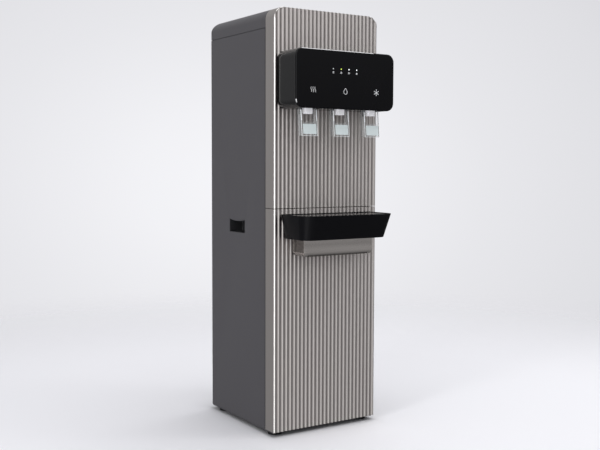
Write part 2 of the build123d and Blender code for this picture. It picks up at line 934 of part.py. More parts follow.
def filter_manifold():
    """The head block that the four cartridges twist into."""
    reach = filter_places()[-1] + filter_radius - 2
    body = block(-reach, reach, filter_y - manifold_depth / 2, manifold_back(), manifold_bottom, manifold_top)
    body = fillet(body.edges().filter_by(Axis.Z), 6)
    for x in (feed_port()[0], reject_port()[0], tank_x):
        body = body + rod_y(x, port_z, manifold_back() - 1, manifold_back() + 6, 4.2)
    sockets = [post(x, filter_y, manifold_bottom - 1, manifold_bottom + neck_height, neck_radius + 0.08)
               for x in filter_places()]
    return cut(body, *sockets)


def filter_cartridge(x):
    shoulder = manifold_bottom - 2
    body = post(x, filter_y, shoulder - filter_length, shoulder, filter_radius)
    body = fillet(body.edges(), 7)
    return body + post(x, filter_y, shoulder - 1, manifold_bottom + neck_height - seat, neck_radius)


def hot_tank():
    y = front + hot_back
    z0 = deck_top + 12
    z1 = z0 + hot_height
    body, space = vessel(hot_x, y, z0, z1, hot_radius, 8, boiler_wall)
    feet = [post(hot_x + dx, y, deck_top, z0 + 9, 4) for dx in (-25, 25)]
    port = post(taps["hot"], y, z1 - boiler_wall / 2, hot_port_z(), port_radius - 1)
    bore = post(taps["hot"], y, z1 - 2 * boiler_wall, hot_port_z() + 1, port_bore)
    return cut(join(body, *feet, port), space, bore)


def hot_port_z():
    return deck_top + 12 + hot_height + 14


def hot_tank_jacket():
    y = front + hot_back
    z0 = deck_top + 24
    outer = post(hot_x, y, z0, z0 + hot_height - 24, jacket_radius)
    return outer - post(hot_x, y, z0 - 1, z0 + hot_height, hot_radius)


def cold_tank():
    y = front + cold_back
    z0 = deck_top + foam_wall
    z1 = z0 + cold_height
    body = post(cold_x, y, z0, z1, cold_radius)
    space = post(cold_x, y, z0 + boiler_wall, z1 - boiler_wall, cold_radius - boiler_wall)
    port = post(cold_x, y, z1 - boiler_wall / 2, cold_port_z(), port_radius - 1)
    bore = post(cold_x, y, z1 - 2 * boiler_wall, cold_port_z() + 1, port_bore)
    return cut(join(body, port), space, bore)


def cold_port_z():
    return deck_top + cold_height + 2 * foam_wall + neck_length


def evaporator_coil():
    """A sleeve in the place of the copper tube that is wound on the cold tank inside the foam."""
    y = front + cold_back
    z0 = deck_top + foam_wall + 30
    z1 = z0 + cold_height - 60
    core = post(cold_x, y, z0 - 1, z1 + 1, cold_radius)
    return post(cold_x, y, z0, z1, cold_radius + coil_thickness) - core


def cold_tank_insulation():
    y = front + cold_back
    z0 = deck_top
    z1 = z0 + cold_height + 2 * foam_wall
    body = block(cold_x - foam_half, cold_x + foam_half, y - foam_half, y + foam_half, z0, z1)
    body = fillet(body.edges().filter_by(Axis.Z), 10)
    core = post(cold_x, y, z0 + foam_wall, z1 - foam_wall, cold_radius)
    groove = post(cold_x, y, z0 + foam_wall + 30, z0 + foam_wall + cold_height - 30,
                  cold_radius + coil_thickness)
    return cut(body, core, groove, post(cold_x, y, z1 - foam_wall - 1, z1 + 1, port_radius - 1))


def power_board():
    y1 = back_plate - sheet
    z0 = cap_bottom - power_board_drop
    half = power_board_width / 2
    rear = y1 - power_board_stand
    board = block(-half, half, rear - board_thickness, rear, z0, z0 + power_board_height)
    heights = (z0 + 7, z0 + power_board_height - 7)
    legs = [rod_y(x, z, rear - 0.6, y1, 3) for x in (7 - half, half - 7) for z in heights]
    tall = power_board_height
    seated = rear - board_thickness
    transformer = block(-0.84 * half, -0.37 * half, seated - 32, seated, z0 + 0.16 * tall, z0 + 0.50 * tall)
    relay = block(0.11 * half, 0.32 * half, seated - 16, seated, z0 + 0.16 * tall, z0 + 0.37 * tall)
    sink = block(0.47 * half, 0.84 * half, seated - 24, seated, z0 + 0.56 * tall, z0 + 0.88 * tall)
    return join(board, *legs, transformer, relay, sink)


def rocker_places():
    z = sum(power_z()) / 2
    return {"hot": (power_x()[1] - 32, z), "cold": (power_x()[1] - 12, z)}


def rocker_pivot_y():
    return back_plate - 0.5


def power_inlet():
    """A plate with a pinned three-pole inlet and the frames of the two rocker switches."""
    x0, x1 = power_x()
    z0, z1 = power_z()
    lip = 4.0
    body = block(x0, x1, back_plate - 24, back_plate, z0, z1)
    body = body + block(x0 - lip, x1 + lip, back_plate, back_plate + 2.5, z0 - lip, z1 + lip)
    inlet_x = x0 + 20
    inlet_z = (z0 + z1) / 2
    body = body - block(inlet_x - 13.5, inlet_x + 13.5, back_plate - 17, back_plate + 4, inlet_z - 10,
                        inlet_z + 10)
    for dx, dz in ((-7, -2), (0, 3), (7, -2)):
        body = body + block(inlet_x + dx - 1, inlet_x + dx + 1, back_plate - 18, back_plate - 2,
                            inlet_z + dz - 2.5, inlet_z + dz + 2.5)
    for x, z in rocker_places().values():
        body = body - block(x - 6.4, x + 6.4, rocker_pivot_y() - 6, back_plate + 4, z - 10.4, z + 10.4)
        body = body - rod_x(rocker_pivot_y(), z, x - 7.5, x + 7.5, 1.55)
    return body


def rocker(x, z):
    """A rocker on its own trunnions, stored with its lower end pressed in."""
    y = rocker_pivot_y()
    body = block(-6, 6, -3.5, 4, -9, 9)
    body = fillet(body.edges().filter_by(Axis.X), 1)
    body = body + rod_x(0, 0, -7.3, 7.3, 1.5)
    return Pos(x, y, z) * Rot(-8, 0, 0) * body


def push_fitting(x, z):
    """A push-in tube fitting through the back, with a nut each side."""
    outer = back_plate + 18
    body = rod_y(x, z, back_plate - sheet - 14, outer, 8)
    body = body + rod_y(x, z, back_plate, back_plate + 5, 11)
    body = body + rod_y(x, z, back_plate - sheet - 5, back_plate - sheet, 11)
    return body - rod_y(x, z, outer - 15, outer + 1, tube_radius + 0.05)


def drain_caps():
    caps = []
    for x in (hot_x, cold_x):
        z = drain_cap_z()
        cap = rod_y(x, z, back_plate, back_plate + 12, 12)
        cap = chamfer(cap.edges().group_by(Axis.Y)[-1], 1.5)
        caps.append(cap + rod_y(x, z, back_plate - sheet - 12, back_plate + 1, 8))
    return caps


def tap_tubes():
    """The three lines from the tanks and the filter block up to the valves."""
    z = valve_line
    y = valve_port_y()
    hot = tube(tube_radius, (taps["hot"], front + hot_back, hot_port_z()), (taps["hot"], front + hot_back, z),
               (taps["hot"], y, z))
    ambient = tube(tube_radius, (0, filter_y, manifold_top), (0, filter_y, z), (0, y, z))
    cold_y = front + cold_back
    cold = tube(tube_radius, (cold_x, cold_y, cold_port_z()), (cold_x, cold_y, z),
                (taps["cold"], (y + cold_y) / 2, z), (taps["cold"], y, z))
    return [hot, ambient, cold]


def feed_tubes():
    """The raw water line, the reject line and the line to the storage tank."""
    lines = []
    for x, z in (feed_port(), reject_port()):
        lines.append(tube(tube_radius, (x, back_plate - sheet - 14, z), (x, pump_line_y, z),
                          (x, pump_line_y, port_z), (x, manifold_back() + 6, port_z)))
    tank_y = front + tank_back
    lines.append(tube(tube_radius, (tank_x, tank_y, tank_port_z()), (tank_x, tank_y, port_z),
                      (tank_x, manifold_back() + 6, port_z)))
    return lines


def panel_screws():
    """Button-head screws: one low on each side, and three up each rear flange."""
    screws = []
    for sign in (-1, 1):
        inner, outer = sorted((sign * (inner_side - liner - sheet), sign * side))
        screws.append(rod_x(front + side_screw_back, sill + side_screw_rise, inner, outer, screw_radius))
        x = sign * (side - rear_screw_inset)
        low = sill + rear_screw_end
        high = cap_bottom - rear_screw_end
        for z in (low, (low + high) / 2, high):
            screws.append(rod_y(x, z, back, back + screw_head, 2 * screw_radius))
    return screws


os.makedirs("parts", exist_ok=True)
save("base_pan", base_pan())
save("levelling_feet", *levelling_feet())
save("left_side_panel", side_panel(-1))
save("right_side_panel", side_panel(1))
save("left_grip_cup", grip_cup(-1))
save("right_grip_cup", grip_cup(1))
save("rear_panel", rear_panel())
save("top_cover", top_cover())
save("upper_front_panel", upper_front_panel())
save("left_post", chassis_post(-1))
save("right_post", chassis_post(1))
save("mid_deck", mid_deck())
save("upper_hinge_plate", upper_hinge_plate())
save("hinge_pins", *hinge_pins())
save("door_magnets", *door_magnets())
save("lower_front_door", lower_front_door())
save("tray_bracket", tray_bracket())
save("drip_tray", drip_tray())
save("drip_grille", drip_grille())
save("head_housing", head_housing())
save("head_face", head_face())
save("indicator_lenses", *indicator_lenses())
save("display_board", display_board())
save("dispense_valves", *dispense_valves())
save("lever_pins", *lever_pins())
save("lever_springs", *lever_springs())
save("lever_switches", *lever_switches())
for name, x in taps.items():
    save(f"nozzle_{name}", nozzle(x))
    save(f"lever_{name}", lever(x))
save("compressor", compressor())
save("compressor_mounts", *compressor_mounts())
save("condenser_tube", condenser_tube())
save("condenser_wires", *condenser_wires())
save("booster_pump", booster_pump())
save("storage_tank", storage_tank())
save("filter_manifold", filter_manifold())
cartridges = ("sediment_filter", "carbon_filter", "membrane_filter", "polishing_filter")
for name, x in zip(cartridges, filter_places()):
    save(name, filter_cartridge(x))
save("hot_tank", hot_tank())
save("hot_tank_jacket", hot_tank_jacket())
save("cold_tank", cold_tank())
save("evaporator_coil", evaporator_coil())
save("cold_tank_insulation", cold_tank_insulation())
save("power_board", power_board())
save("power_inlet", power_inlet())
for name, place in rocker_places().items():
    save(f"{name}_switch", rocker(*place))
save("inlet_fitting", push_fitting(*feed_port()))
save("drain_fitting", push_fitting(*reject_port()))
save("drain_caps", *drain_caps())
save("tap_tubes", *tap_tubes())
save("feed_tubes", *feed_tubes())
save("panel_screws", *panel_screws())
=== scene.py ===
from math import asin, atan, copysign, cos, pi, radians, sin, tan

import bmesh
import bpy
from mathutils import Matrix, Vector


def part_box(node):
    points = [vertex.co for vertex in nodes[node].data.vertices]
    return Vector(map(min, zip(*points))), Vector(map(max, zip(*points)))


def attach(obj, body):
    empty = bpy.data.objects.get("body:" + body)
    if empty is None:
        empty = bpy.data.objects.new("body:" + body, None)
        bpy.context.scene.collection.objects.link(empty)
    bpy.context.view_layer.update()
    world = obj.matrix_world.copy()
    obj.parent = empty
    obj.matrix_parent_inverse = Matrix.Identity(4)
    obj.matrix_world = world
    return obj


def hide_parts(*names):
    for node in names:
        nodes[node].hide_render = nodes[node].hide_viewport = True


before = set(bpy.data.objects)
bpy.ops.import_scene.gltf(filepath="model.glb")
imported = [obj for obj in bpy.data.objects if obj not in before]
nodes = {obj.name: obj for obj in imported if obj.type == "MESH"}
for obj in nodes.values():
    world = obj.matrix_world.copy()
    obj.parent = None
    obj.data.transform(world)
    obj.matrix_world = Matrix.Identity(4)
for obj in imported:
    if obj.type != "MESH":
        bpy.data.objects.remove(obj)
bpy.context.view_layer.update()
mm = 0.001

# Camera, lamps, room and floor.
# The photograph is taken from the left front, a little above half height, with a lens of about 54 mm. The room is
# pale. Soft lamps at both sides and above light the coats, and the metal and the gloss mirror the room instead.
camera_place = Vector((-1.2938, -1.9909, 0.6802))
camera_yaw, camera_pitch, camera_roll = radians(32.822), radians(-3.915), radians(0.177)
forward = Vector((sin(camera_yaw) * cos(camera_pitch),
                  cos(camera_yaw) * cos(camera_pitch), sin(camera_pitch)))
level = Vector((cos(camera_yaw), -sin(camera_yaw), 0))
across = level * cos(camera_roll) + level.cross(forward) * sin(camera_roll)
upward = across.cross(forward)
camera_data = bpy.data.cameras.new("camera")
camera_data.sensor_width = 36.0
camera_data.lens = 54.207
camera = bpy.data.objects.new("camera", camera_data)
bpy.context.collection.objects.link(camera)
turn = Matrix((across, upward, -forward)).transposed()
camera.matrix_world = Matrix.Translation(camera_place) @ turn.to_4x4()
bpy.context.scene.camera = camera
bpy.context.scene.view_settings.view_transform = "Standard"


def lamp(name, place, aim, width, height, watts, seen_in_gloss=False):
    """A soft rectangular studio lamp that faces a point."""
    data = bpy.data.lights.new(name, "AREA")
    data.shape = "RECTANGLE"
    data.size, data.size_y, data.energy = width, height, watts
    obj = bpy.data.objects.new(name, data)
    bpy.context.collection.objects.link(obj)
    obj.location = place
    obj.visible_glossy = seen_in_gloss
    obj.rotation_euler = (Vector(aim) - Vector(place)).to_track_quat("-Z", "Y").to_euler()


lamp("lamp_left", (-2.4, -0.9, 1.3), (0, 0, 0.6), 0.5, 2.2, 23)
lamp("lamp_right", (2.2, -1.6, 1.3), (0, 0, 0.6), 0.5, 2.2, 9)
lamp("lamp_top", (0.9, -0.1, 3.0), (0.2, 0, 0), 2.6, 2.6, 44, True)


def feed(node, *numbered, **named):
    """Gives a node's sockets, by number or by name, a constant or what another node puts out."""
    pairs = [(node.inputs[index], value) for index, value in enumerate(numbered)]
    pairs += [(node.inputs[name.replace("_", " ")], value) for name, value in named.items()]
    for socket, value in pairs:
        if isinstance(value, bpy.types.Node):
            value = value.outputs[0]
        if isinstance(value, bpy.types.NodeSocket):
            node.id_data.links.new(value, socket)
        else:
            socket.default_value = value
    return node


def add_node(tree, kind, *numbered, **named):
    """Adds a shader node. Names in small letters are settings of the node, and all others are its sockets."""
    node = tree.nodes.new("ShaderNode" + kind)
    for setting in [name for name in named if name.islower()]:
        setattr(node, setting, named.pop(setting))
    return feed(node, *numbered, **named)


def ramp(tree, factor, stops):
    """A colour ramp through stops, each a position with a grey or a colour."""
    made = add_node(tree, "ValToRGB", factor)
    elements = made.color_ramp.elements
    while len(elements) < len(stops):
        elements.new(0.5)
    # All positions come first, because the ramp sorts its elements as they move.
    for element, (position, _) in zip(elements, stops):
        element.position = position
    for element, (_, colour) in zip(elements, stops):
        element.color = (*colour, 1) if isinstance(colour, tuple) else (colour, colour, colour, 1)
    return made


world = bpy.data.worlds.new("room")
bpy.context.scene.world = world
world.use_nodes = True
tree = world.node_tree
tree.nodes.clear()
ray = add_node(tree, "LightPath").outputs
way = add_node(tree, "TexCoord").outputs["Generated"]
way_up = add_node(tree, "SeparateXYZ", way).outputs["Z"]
# The room's light comes more from above than from the sides, so that the floor darkens under the cabinet.
room_light = add_node(tree, "Background", (0.97, 0.97, 1.0, 1),
                      add_node(tree, "MapRange", way_up, From_Min=-0.1, From_Max=0.9, To_Min=0.30, To_Max=0.74))
# What polished surfaces see, anticlockwise from the left: a bright window at the left front, a dim front, a dark
# right side and the grey backdrop behind, with a soft ceiling above and a darker floor below. Each stop is a place
# round the room, or from floor to ceiling, and how bright it is there.
gloss_strength = 3.2
round_stops = ((0.0, 0.20), (0.03, 0.70), (0.055, 1.90), (0.10, 1.15), (0.135, 0.70), (0.167, 0.44),
               (0.22, 0.30), (0.344, 0.20), (0.417, 0.12), (0.50, 0.06), (0.556, 0.05), (0.65, 0.10),
               (0.75, 0.16), (0.86, 0.168), (0.94, 0.20), (1.0, 0.20))
rise_stops = ((0.0, 0.40), (0.35, 0.52), (0.46, 0.80), (0.60, 0.94), (0.75, 1.10), (1.0, 1.10))
way_round = add_node(tree, "TexGradient", way, gradient_type="RADIAL").outputs["Fac"]
way_rise = add_node(tree, "Math", way_up, 0.5, 0.5, operation="MULTIPLY_ADD")
room_mirrored = add_node(tree, "Mix", data_type="RGBA", blend_type="MULTIPLY", Factor=1.0,
                         A=ramp(tree, way_round, round_stops), B=ramp(tree, way_rise, rise_stops))
room_gloss = add_node(tree, "Background", room_mirrored.outputs["Result"], gloss_strength)
# The backdrop is palest behind the cabinet, left of and above the view's middle, and greyer towards its edges.
backdrop_half_width, backdrop_half_height = 0.45, 0.32
backdrop_stops = ((0.0, (0.92, 0.92, 0.95)), (0.25, (0.885, 0.885, 0.915)), (0.6, (0.80, 0.80, 0.83)),
                  (0.9, (0.745, 0.745, 0.775)), (1.0, (0.72, 0.72, 0.75)))
backdrop_middle = (forward + across * -0.066 + upward * 0.05).normalized()
sideways = across - backdrop_middle * across.dot(backdrop_middle)
offsets = [add_node(tree, "VectorMath", way, axis, operation="DOT_PRODUCT").outputs["Value"] for axis in
           (sideways / backdrop_half_width, sideways.cross(backdrop_middle) / backdrop_half_height)]
backdrop_far = add_node(tree, "VectorMath", add_node(tree, "CombineXYZ", *offsets), operation="LENGTH")
room_seen = add_node(tree, "Background", ramp(tree, backdrop_far.outputs["Value"], backdrop_stops))
seen_direct = add_node(tree, "Math", ray["Is Camera Ray"], ray["Is Transmission Ray"], operation="MAXIMUM")
room_felt = add_node(tree, "MixShader", ray["Is Glossy Ray"], room_light, room_gloss)
add_node(tree, "OutputWorld", add_node(tree, "MixShader", seen_direct, room_felt, room_seen))

floor_radius = 6.0
bm = bmesh.new()
bmesh.ops.create_circle(bm, cap_ends=True, segments=96, radius=floor_radius)
floor_mesh = bpy.data.meshes.new("floor")
bm.to_mesh(floor_mesh)
bm.free()
floor = bpy.data.objects.new("floor", floor_mesh)
bpy.context.collection.objects.link(floor)
floor.visible_glossy = False
floor_finish = bpy.data.materials.new("floor")
floor_finish.use_nodes = True
tree = floor_finish.node_tree
floor_spot = add_node(tree, "TexCoord").outputs["Object"]
# The floor is darker under the cabinet and for a hand's breadth round it, as a contact shadow. The soft light
# comes round the sides, so the shadow there is half as wide as in front.
shadow_width = 0.1
floor_colour = (0.86, 0.86, 0.89)
shadow_stops = ((0.0, 0.50), (0.02, 0.58), (0.08, 0.70), (0.16, 0.82), (0.30, 0.91), (0.55, 0.97), (1.0, 1.0))


def middle_of(node):
    """The middle of a node's box."""
    low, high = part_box(node)
    return (low + high) / 2


pan_middle = middle_of("base_pan")
pan_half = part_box("base_pan")[1] - pan_middle
gap = floor_spot
for operation, amount in (("SUBTRACT", (pan_middle.x, pan_middle.y, 0)), ("ABSOLUTE", (0, 0, 0)),
                          ("SUBTRACT", (pan_half.x, pan_half.y, 0)), ("MAXIMUM", (0, 0, 0)),
                          ("MULTIPLY", (2, 1, 1)), ("LENGTH", (0, 0, 0))):
    gap = add_node(tree, "VectorMath", gap, amount, operation=operation)
shade = ramp(tree, add_node(tree, "MapRange", gap.outputs["Value"], From_Max=shadow_width),
             [(position, tuple(grey * share for share in floor_colour)) for position, grey in shadow_stops])
floor_coat = feed(tree.nodes["Principled BSDF"], Base_Color=shade, Roughness=0.6)
# It fades out far from the cabinet, into the backdrop.
fade_from, fade_to = 0.9, 2.6
away = add_node(tree, "VectorMath", floor_spot, operation="LENGTH").outputs["Value"]
fade = add_node(tree, "MapRange", away, fade_from, fade_to, interpolation_type="SMOOTHSTEP")
floor_faded = add_node(tree, "MixShader", fade, floor_coat, add_node(tree, "BsdfTransparent"))
feed(tree.nodes["Material Output"], floor_faded)
floor_mesh.materials.append(floor_finish)


# Fluted front: the upper panel and the door below it.
# Each is one sheet of stainless steel, rolled into 26 flutes, folded back 42 mm at both sides and tinted a warm
# champagne. The upper one is fixed to the cabinet, with its top corners rounded like the cap, and the lower one is
# the skin of the door.
def finish(name, colour, shade, grain, depth, rough, rough_swing=0.06, metal=0.0, kind="Noise", **sockets):
    """A worked surface: two close colours in a grain of its own scale, with relief of a depth and with a
    roughness that swings. A grain is one number, or three for streaks."""
    made = bpy.data.materials.new(name)
    made.use_nodes = True
    tree = made.node_tree
    grain = grain if isinstance(grain, tuple) else (grain, grain, grain)
    spot = add_node(tree, "Mapping", add_node(tree, "TexCoord").outputs["Object"], Scale=grain)
    value = add_node(tree, "Tex" + kind, spot, Scale=1.0, Detail=4.0 if kind == "Noise" else 0.0)
    value = value.outputs["Fac" if kind == "Noise" else "Color"]
    tint = add_node(tree, "Mix", data_type="RGBA", Factor=value, A=(*shade, 1), B=(*colour, 1))
    dull = add_node(tree, "MapRange", value, From_Min=0.3, From_Max=0.7,
                    To_Min=max(rough - rough_swing, 0.02), To_Max=rough + rough_swing)
    bump = add_node(tree, "Bump", Strength=0.5, Distance=depth, Height=value)
    feed(tree.nodes["Principled BSDF"], Base_Color=tint.outputs["Result"], Roughness=dull, Normal=bump,
         Metallic=metal, **sockets)
    return made


def fit(name, bm, material, slot, *stands_for, body="cabinet", crease=32):
    """Shades a finished mesh, hangs it on its body and lets it stand for its plain solids."""
    for face in bm.faces:
        face.smooth = True
    for edge in bm.edges:
        edge.smooth = len(edge.link_faces) == 2 and edge.calc_face_angle(0) < radians(crease)
    mesh = bpy.data.meshes.new(name)
    bm.to_mesh(mesh)
    bm.free()
    # The plain solids bring normals of their own, which would hide the new shading.
    if "custom_normal" in mesh.attributes:
        mesh.attributes.remove(mesh.attributes["custom_normal"])
    mesh.materials.clear()
    mesh.materials.append(material)
    piece = bpy.data.objects.new(name, mesh)
    bpy.context.collection.objects.link(piece)
    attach(piece, body)
    if stands_for:
        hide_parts(*stands_for)
    return piece


def thicken(piece, thickness, offset=-1):
    """Gives an open skin the thickness of its sheet."""
    wall = piece.modifiers.new("wall", "SOLIDIFY")
    wall.thickness = thickness
    wall.offset = offset


def verts_of(geom):
    """The vertices in what a mesh operator gives back."""
    return [v for v in geom if isinstance(v, bmesh.types.BMVert)]


def put(bm, verts, where, angle=0.0, axis="Y"):
    """Turns new vertices about the origin and carries them to their place."""
    if angle:
        bmesh.ops.rotate(bm, cent=(0, 0, 0), matrix=Matrix.Rotation(angle, 3, axis), verts=verts)
    bmesh.ops.translate(bm, vec=where, verts=verts)


flute_count = 26
flute_depth = 2.0 * mm
crest_share = 0.42
fold_radius = 3.5 * mm
corner_radius = 27.0 * mm
corner_facets = 12
sheet = 1.5 * mm
panel_low, panel_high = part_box("upper_front_panel")
door_low, door_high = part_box("lower_front_door")
front, side, top, fold_back = panel_low.y, panel_high.x, panel_high.z, panel_high.y


def step_round(bm, vert, centre, angle, steps):
    """Carries one vertex round an arc in plan and returns the last one."""
    made = bmesh.ops.spin(bm, geom=[vert], cent=(*centre, 0), axis=(0, 0, 1), angle=angle, steps=steps)
    return verts_of(made["geom_last"])[0]


def step_along(bm, vert, x, y):
    """Carries one vertex straight to a point in plan and returns the new one."""
    made = bm.verts.new((x, y, 0))
    bm.edges.new((vert, made))
    return made


def fluted_sheet(z0, z1, rounded):
    """The rolled sheet as an open box: flutes in front, plain returns at the sides, nothing behind."""
    pitch = 2 * (side - fold_radius) / flute_count
    bend = 2 * atan(2 * flute_depth / pitch)
    crest_radius = crest_share * pitch / 2 / sin(bend)
    valley_radius = (1 - crest_share) * pitch / 2 / sin(bend)
    bm = bmesh.new()
    first = bm.verts.new((-side, fold_back, 0))
    last = step_along(bm, first, -side, front + fold_radius)
    last = step_round(bm, last, (-side + fold_radius, front + fold_radius), pi / 2, 8)
    for flute in range(flute_count + 1):
        x = -side + fold_radius + flute * pitch
        parts = 1 if flute in (0, flute_count) else 2
        last = step_round(bm, last, (x, front + crest_radius), parts * bend, 6 * parts)
        if flute < flute_count:
            last = step_round(bm, last, (x + pitch / 2, front + flute_depth - valley_radius), -2 * bend, 12)
    last = step_round(bm, last, (side - fold_radius, front + fold_radius), pi / 2, 8)
    last = step_along(bm, last, side, fold_back)
    bm.edges.new((last, first))
    bmesh.ops.remove_doubles(bm, verts=bm.verts, dist=1e-7)
    base = bmesh.ops.contextual_create(bm, geom=bm.edges[:])["faces"]
    raised = bmesh.ops.extrude_face_region(bm, geom=base)["geom"]
    put(bm, verts_of(raised), (0, 0, z1 - z0))
    put(bm, bm.verts, (0, 0, z0))
    for sign in (-1, 1) if rounded else ():
        centre = Vector((sign * (side - corner_radius), 0, z1 - corner_radius))
        for facet in range(corner_facets):
            angle = (facet + 0.5) / corner_facets * pi / 2
            out = Vector((sign * sin(angle), 0, cos(angle)))
            cut = bmesh.ops.bisect_plane(bm, geom=bm.verts[:] + bm.edges[:] + bm.faces[:], dist=1e-7,
                                         plane_co=centre + out * corner_radius, plane_no=out, clear_outer=True)
            rim = [e for e in cut["geom_cut"] if isinstance(e, bmesh.types.BMEdge)]
            bmesh.ops.contextual_create(bm, geom=rim)
    bmesh.ops.recalc_face_normals(bm, faces=bm.faces)
    behind = [f for f in bm.faces if f.normal.y > 0.9]
    below = [f for f in bm.faces if f.normal.z < -0.9] if rounded else []
    bmesh.ops.delete(bm, geom=behind + below, context="FACES_ONLY")
    return bm


# The tight flutes spread what they mirror upwards and downwards, and the fine streaks of the rolls run along them.
flute_streaks = (2400, 2400, 14)
champagne = finish("champagne_steel", (0.575, 0.540, 0.528), (0.515, 0.484, 0.474), flute_streaks, 0.0008 * mm,
                   0.37, 0.04, 1.0, Anisotropic=1.0)
tree = champagne.node_tree
feed(tree.nodes["Principled BSDF"], Tangent=add_node(tree, "CombineXYZ", Z=1.0))
for name, body, z0, z1 in (("upper_front_panel", "cabinet", panel_low.z, panel_high.z),
                           ("lower_front_door", "door", door_low.z, door_high.z)):
    rolled = fluted_sheet(z0, z1, body == "cabinet")
    thicken(fit(name + "_sheet", rolled, champagne, "champagne_metal", name, body=body), sheet)
# The folds at both edges carry a painted highlight, strips of a paler and brighter metal on their round, and the
# upper sheet's rounded corners are hemmed with a fine bead of it that joins them.
fold_highlight_metal = finish("painted_fold_highlight", (0.74, 0.72, 0.71), (0.69, 0.67, 0.66), flute_streaks, 0.0005 * mm, 0.36, 0.02,
                   1.0)
turns = [radians(20 + 10 * step) for step in range(8)]
fold_section = [(fold_radius + 0.02 * mm, turn) for turn in turns]
fold_section += [(fold_radius - 0.4 * mm, turn) for turn in reversed(turns)]
for name, body, z0, z1 in (("upper_fold_highlights", "cabinet", panel_low.z, top - corner_radius),
                           ("door_fold_highlights", "door", door_low.z + 0.3 * mm, door_high.z - 0.3 * mm)):
    bm = bmesh.new()
    for sign in (-1, 1):
        centre = Vector((sign * (side - fold_radius), front + fold_radius, z0))
        outline = [bm.verts.new(centre + Vector((sign * cos(turn), -sin(turn), 0)) * reach)
                   for reach, turn in fold_section]
        raised = bmesh.ops.extrude_face_region(bm, geom=[bm.faces.new(outline)])["geom"]
        put(bm, verts_of(raised), (0, 0, z1 - z0))
    bmesh.ops.recalc_face_normals(bm, faces=bm.faces)
    fit(name, bm, fold_highlight_metal, "champagne_metal", body=body)
# The beads carry the same painted highlight round the corners.
bm = bmesh.new()
bead = 1.3 * mm
for sign in (-1, 1):
    centre = Vector((sign * (side - corner_radius), front + 1.6 * mm, top - corner_radius))
    ring = bmesh.ops.create_circle(bm, cap_ends=False, segments=12, radius=bead)["verts"]
    put(bm, ring, centre + Vector((sign * (corner_radius - bead - 0.2 * mm), 0, 0)))
    hoop = [e for e in bm.edges if all(v in ring for v in e.verts)]
    bmesh.ops.spin(bm, geom=hoop + ring, cent=centre, axis=(0, -sign, 0), angle=pi / 2, steps=20)
bmesh.ops.recalc_face_normals(bm, faces=bm.faces)
fit("corner_highlight_beads", bm, fold_highlight_metal, "champagne_metal", crease=60)


# Cabinet sides and cap.
# The sides are 1.5 mm steel sheet with a dark grey powder coat, each with a finger opening whose edge is pressed
# in a little. The cap is the same coated steel, drawn with rounded shoulders, and sits in a fine seam.
def box_of(bm, x0, x1, y0, y1, z0, z1):
    """A block between two corners, in metres."""
    made = bmesh.ops.create_cube(bm, size=1.0)["verts"]
    bmesh.ops.scale(bm, vec=(x1 - x0, y1 - y0, z1 - z0), verts=made)
    put(bm, made, ((x0 + x1) / 2, (y0 + y1) / 2, (z0 + z1) / 2))
    return made


def solid_of(node):
    """The plain solid of a node as clean faces, to be dressed."""
    bm = bmesh.new()
    bm.from_mesh(nodes[node].data)
    bmesh.ops.remove_doubles(bm, verts=bm.verts, dist=2e-6)
    bmesh.ops.dissolve_limit(bm, angle_limit=radians(0.2), verts=bm.verts, edges=bm.edges)
    return bm


def soften(piece, width, segments=2, angle=35):
    """Rounds the sharp edges of a finished piece a little, so that they catch the light."""
    edge = piece.modifiers.new("edges", "BEVEL")
    edge.width = width
    edge.segments = segments
    edge.limit_method = "ANGLE"
    edge.angle_limit = radians(angle)
    edge.harden_normals = True


def dress(name, node, material, slot, width, segments=2, body="cabinet"):
    """Stands for a node with its own solid, in its material and with softened edges."""
    soften(fit(name, solid_of(node), material, slot, node, body=body), width, segments)


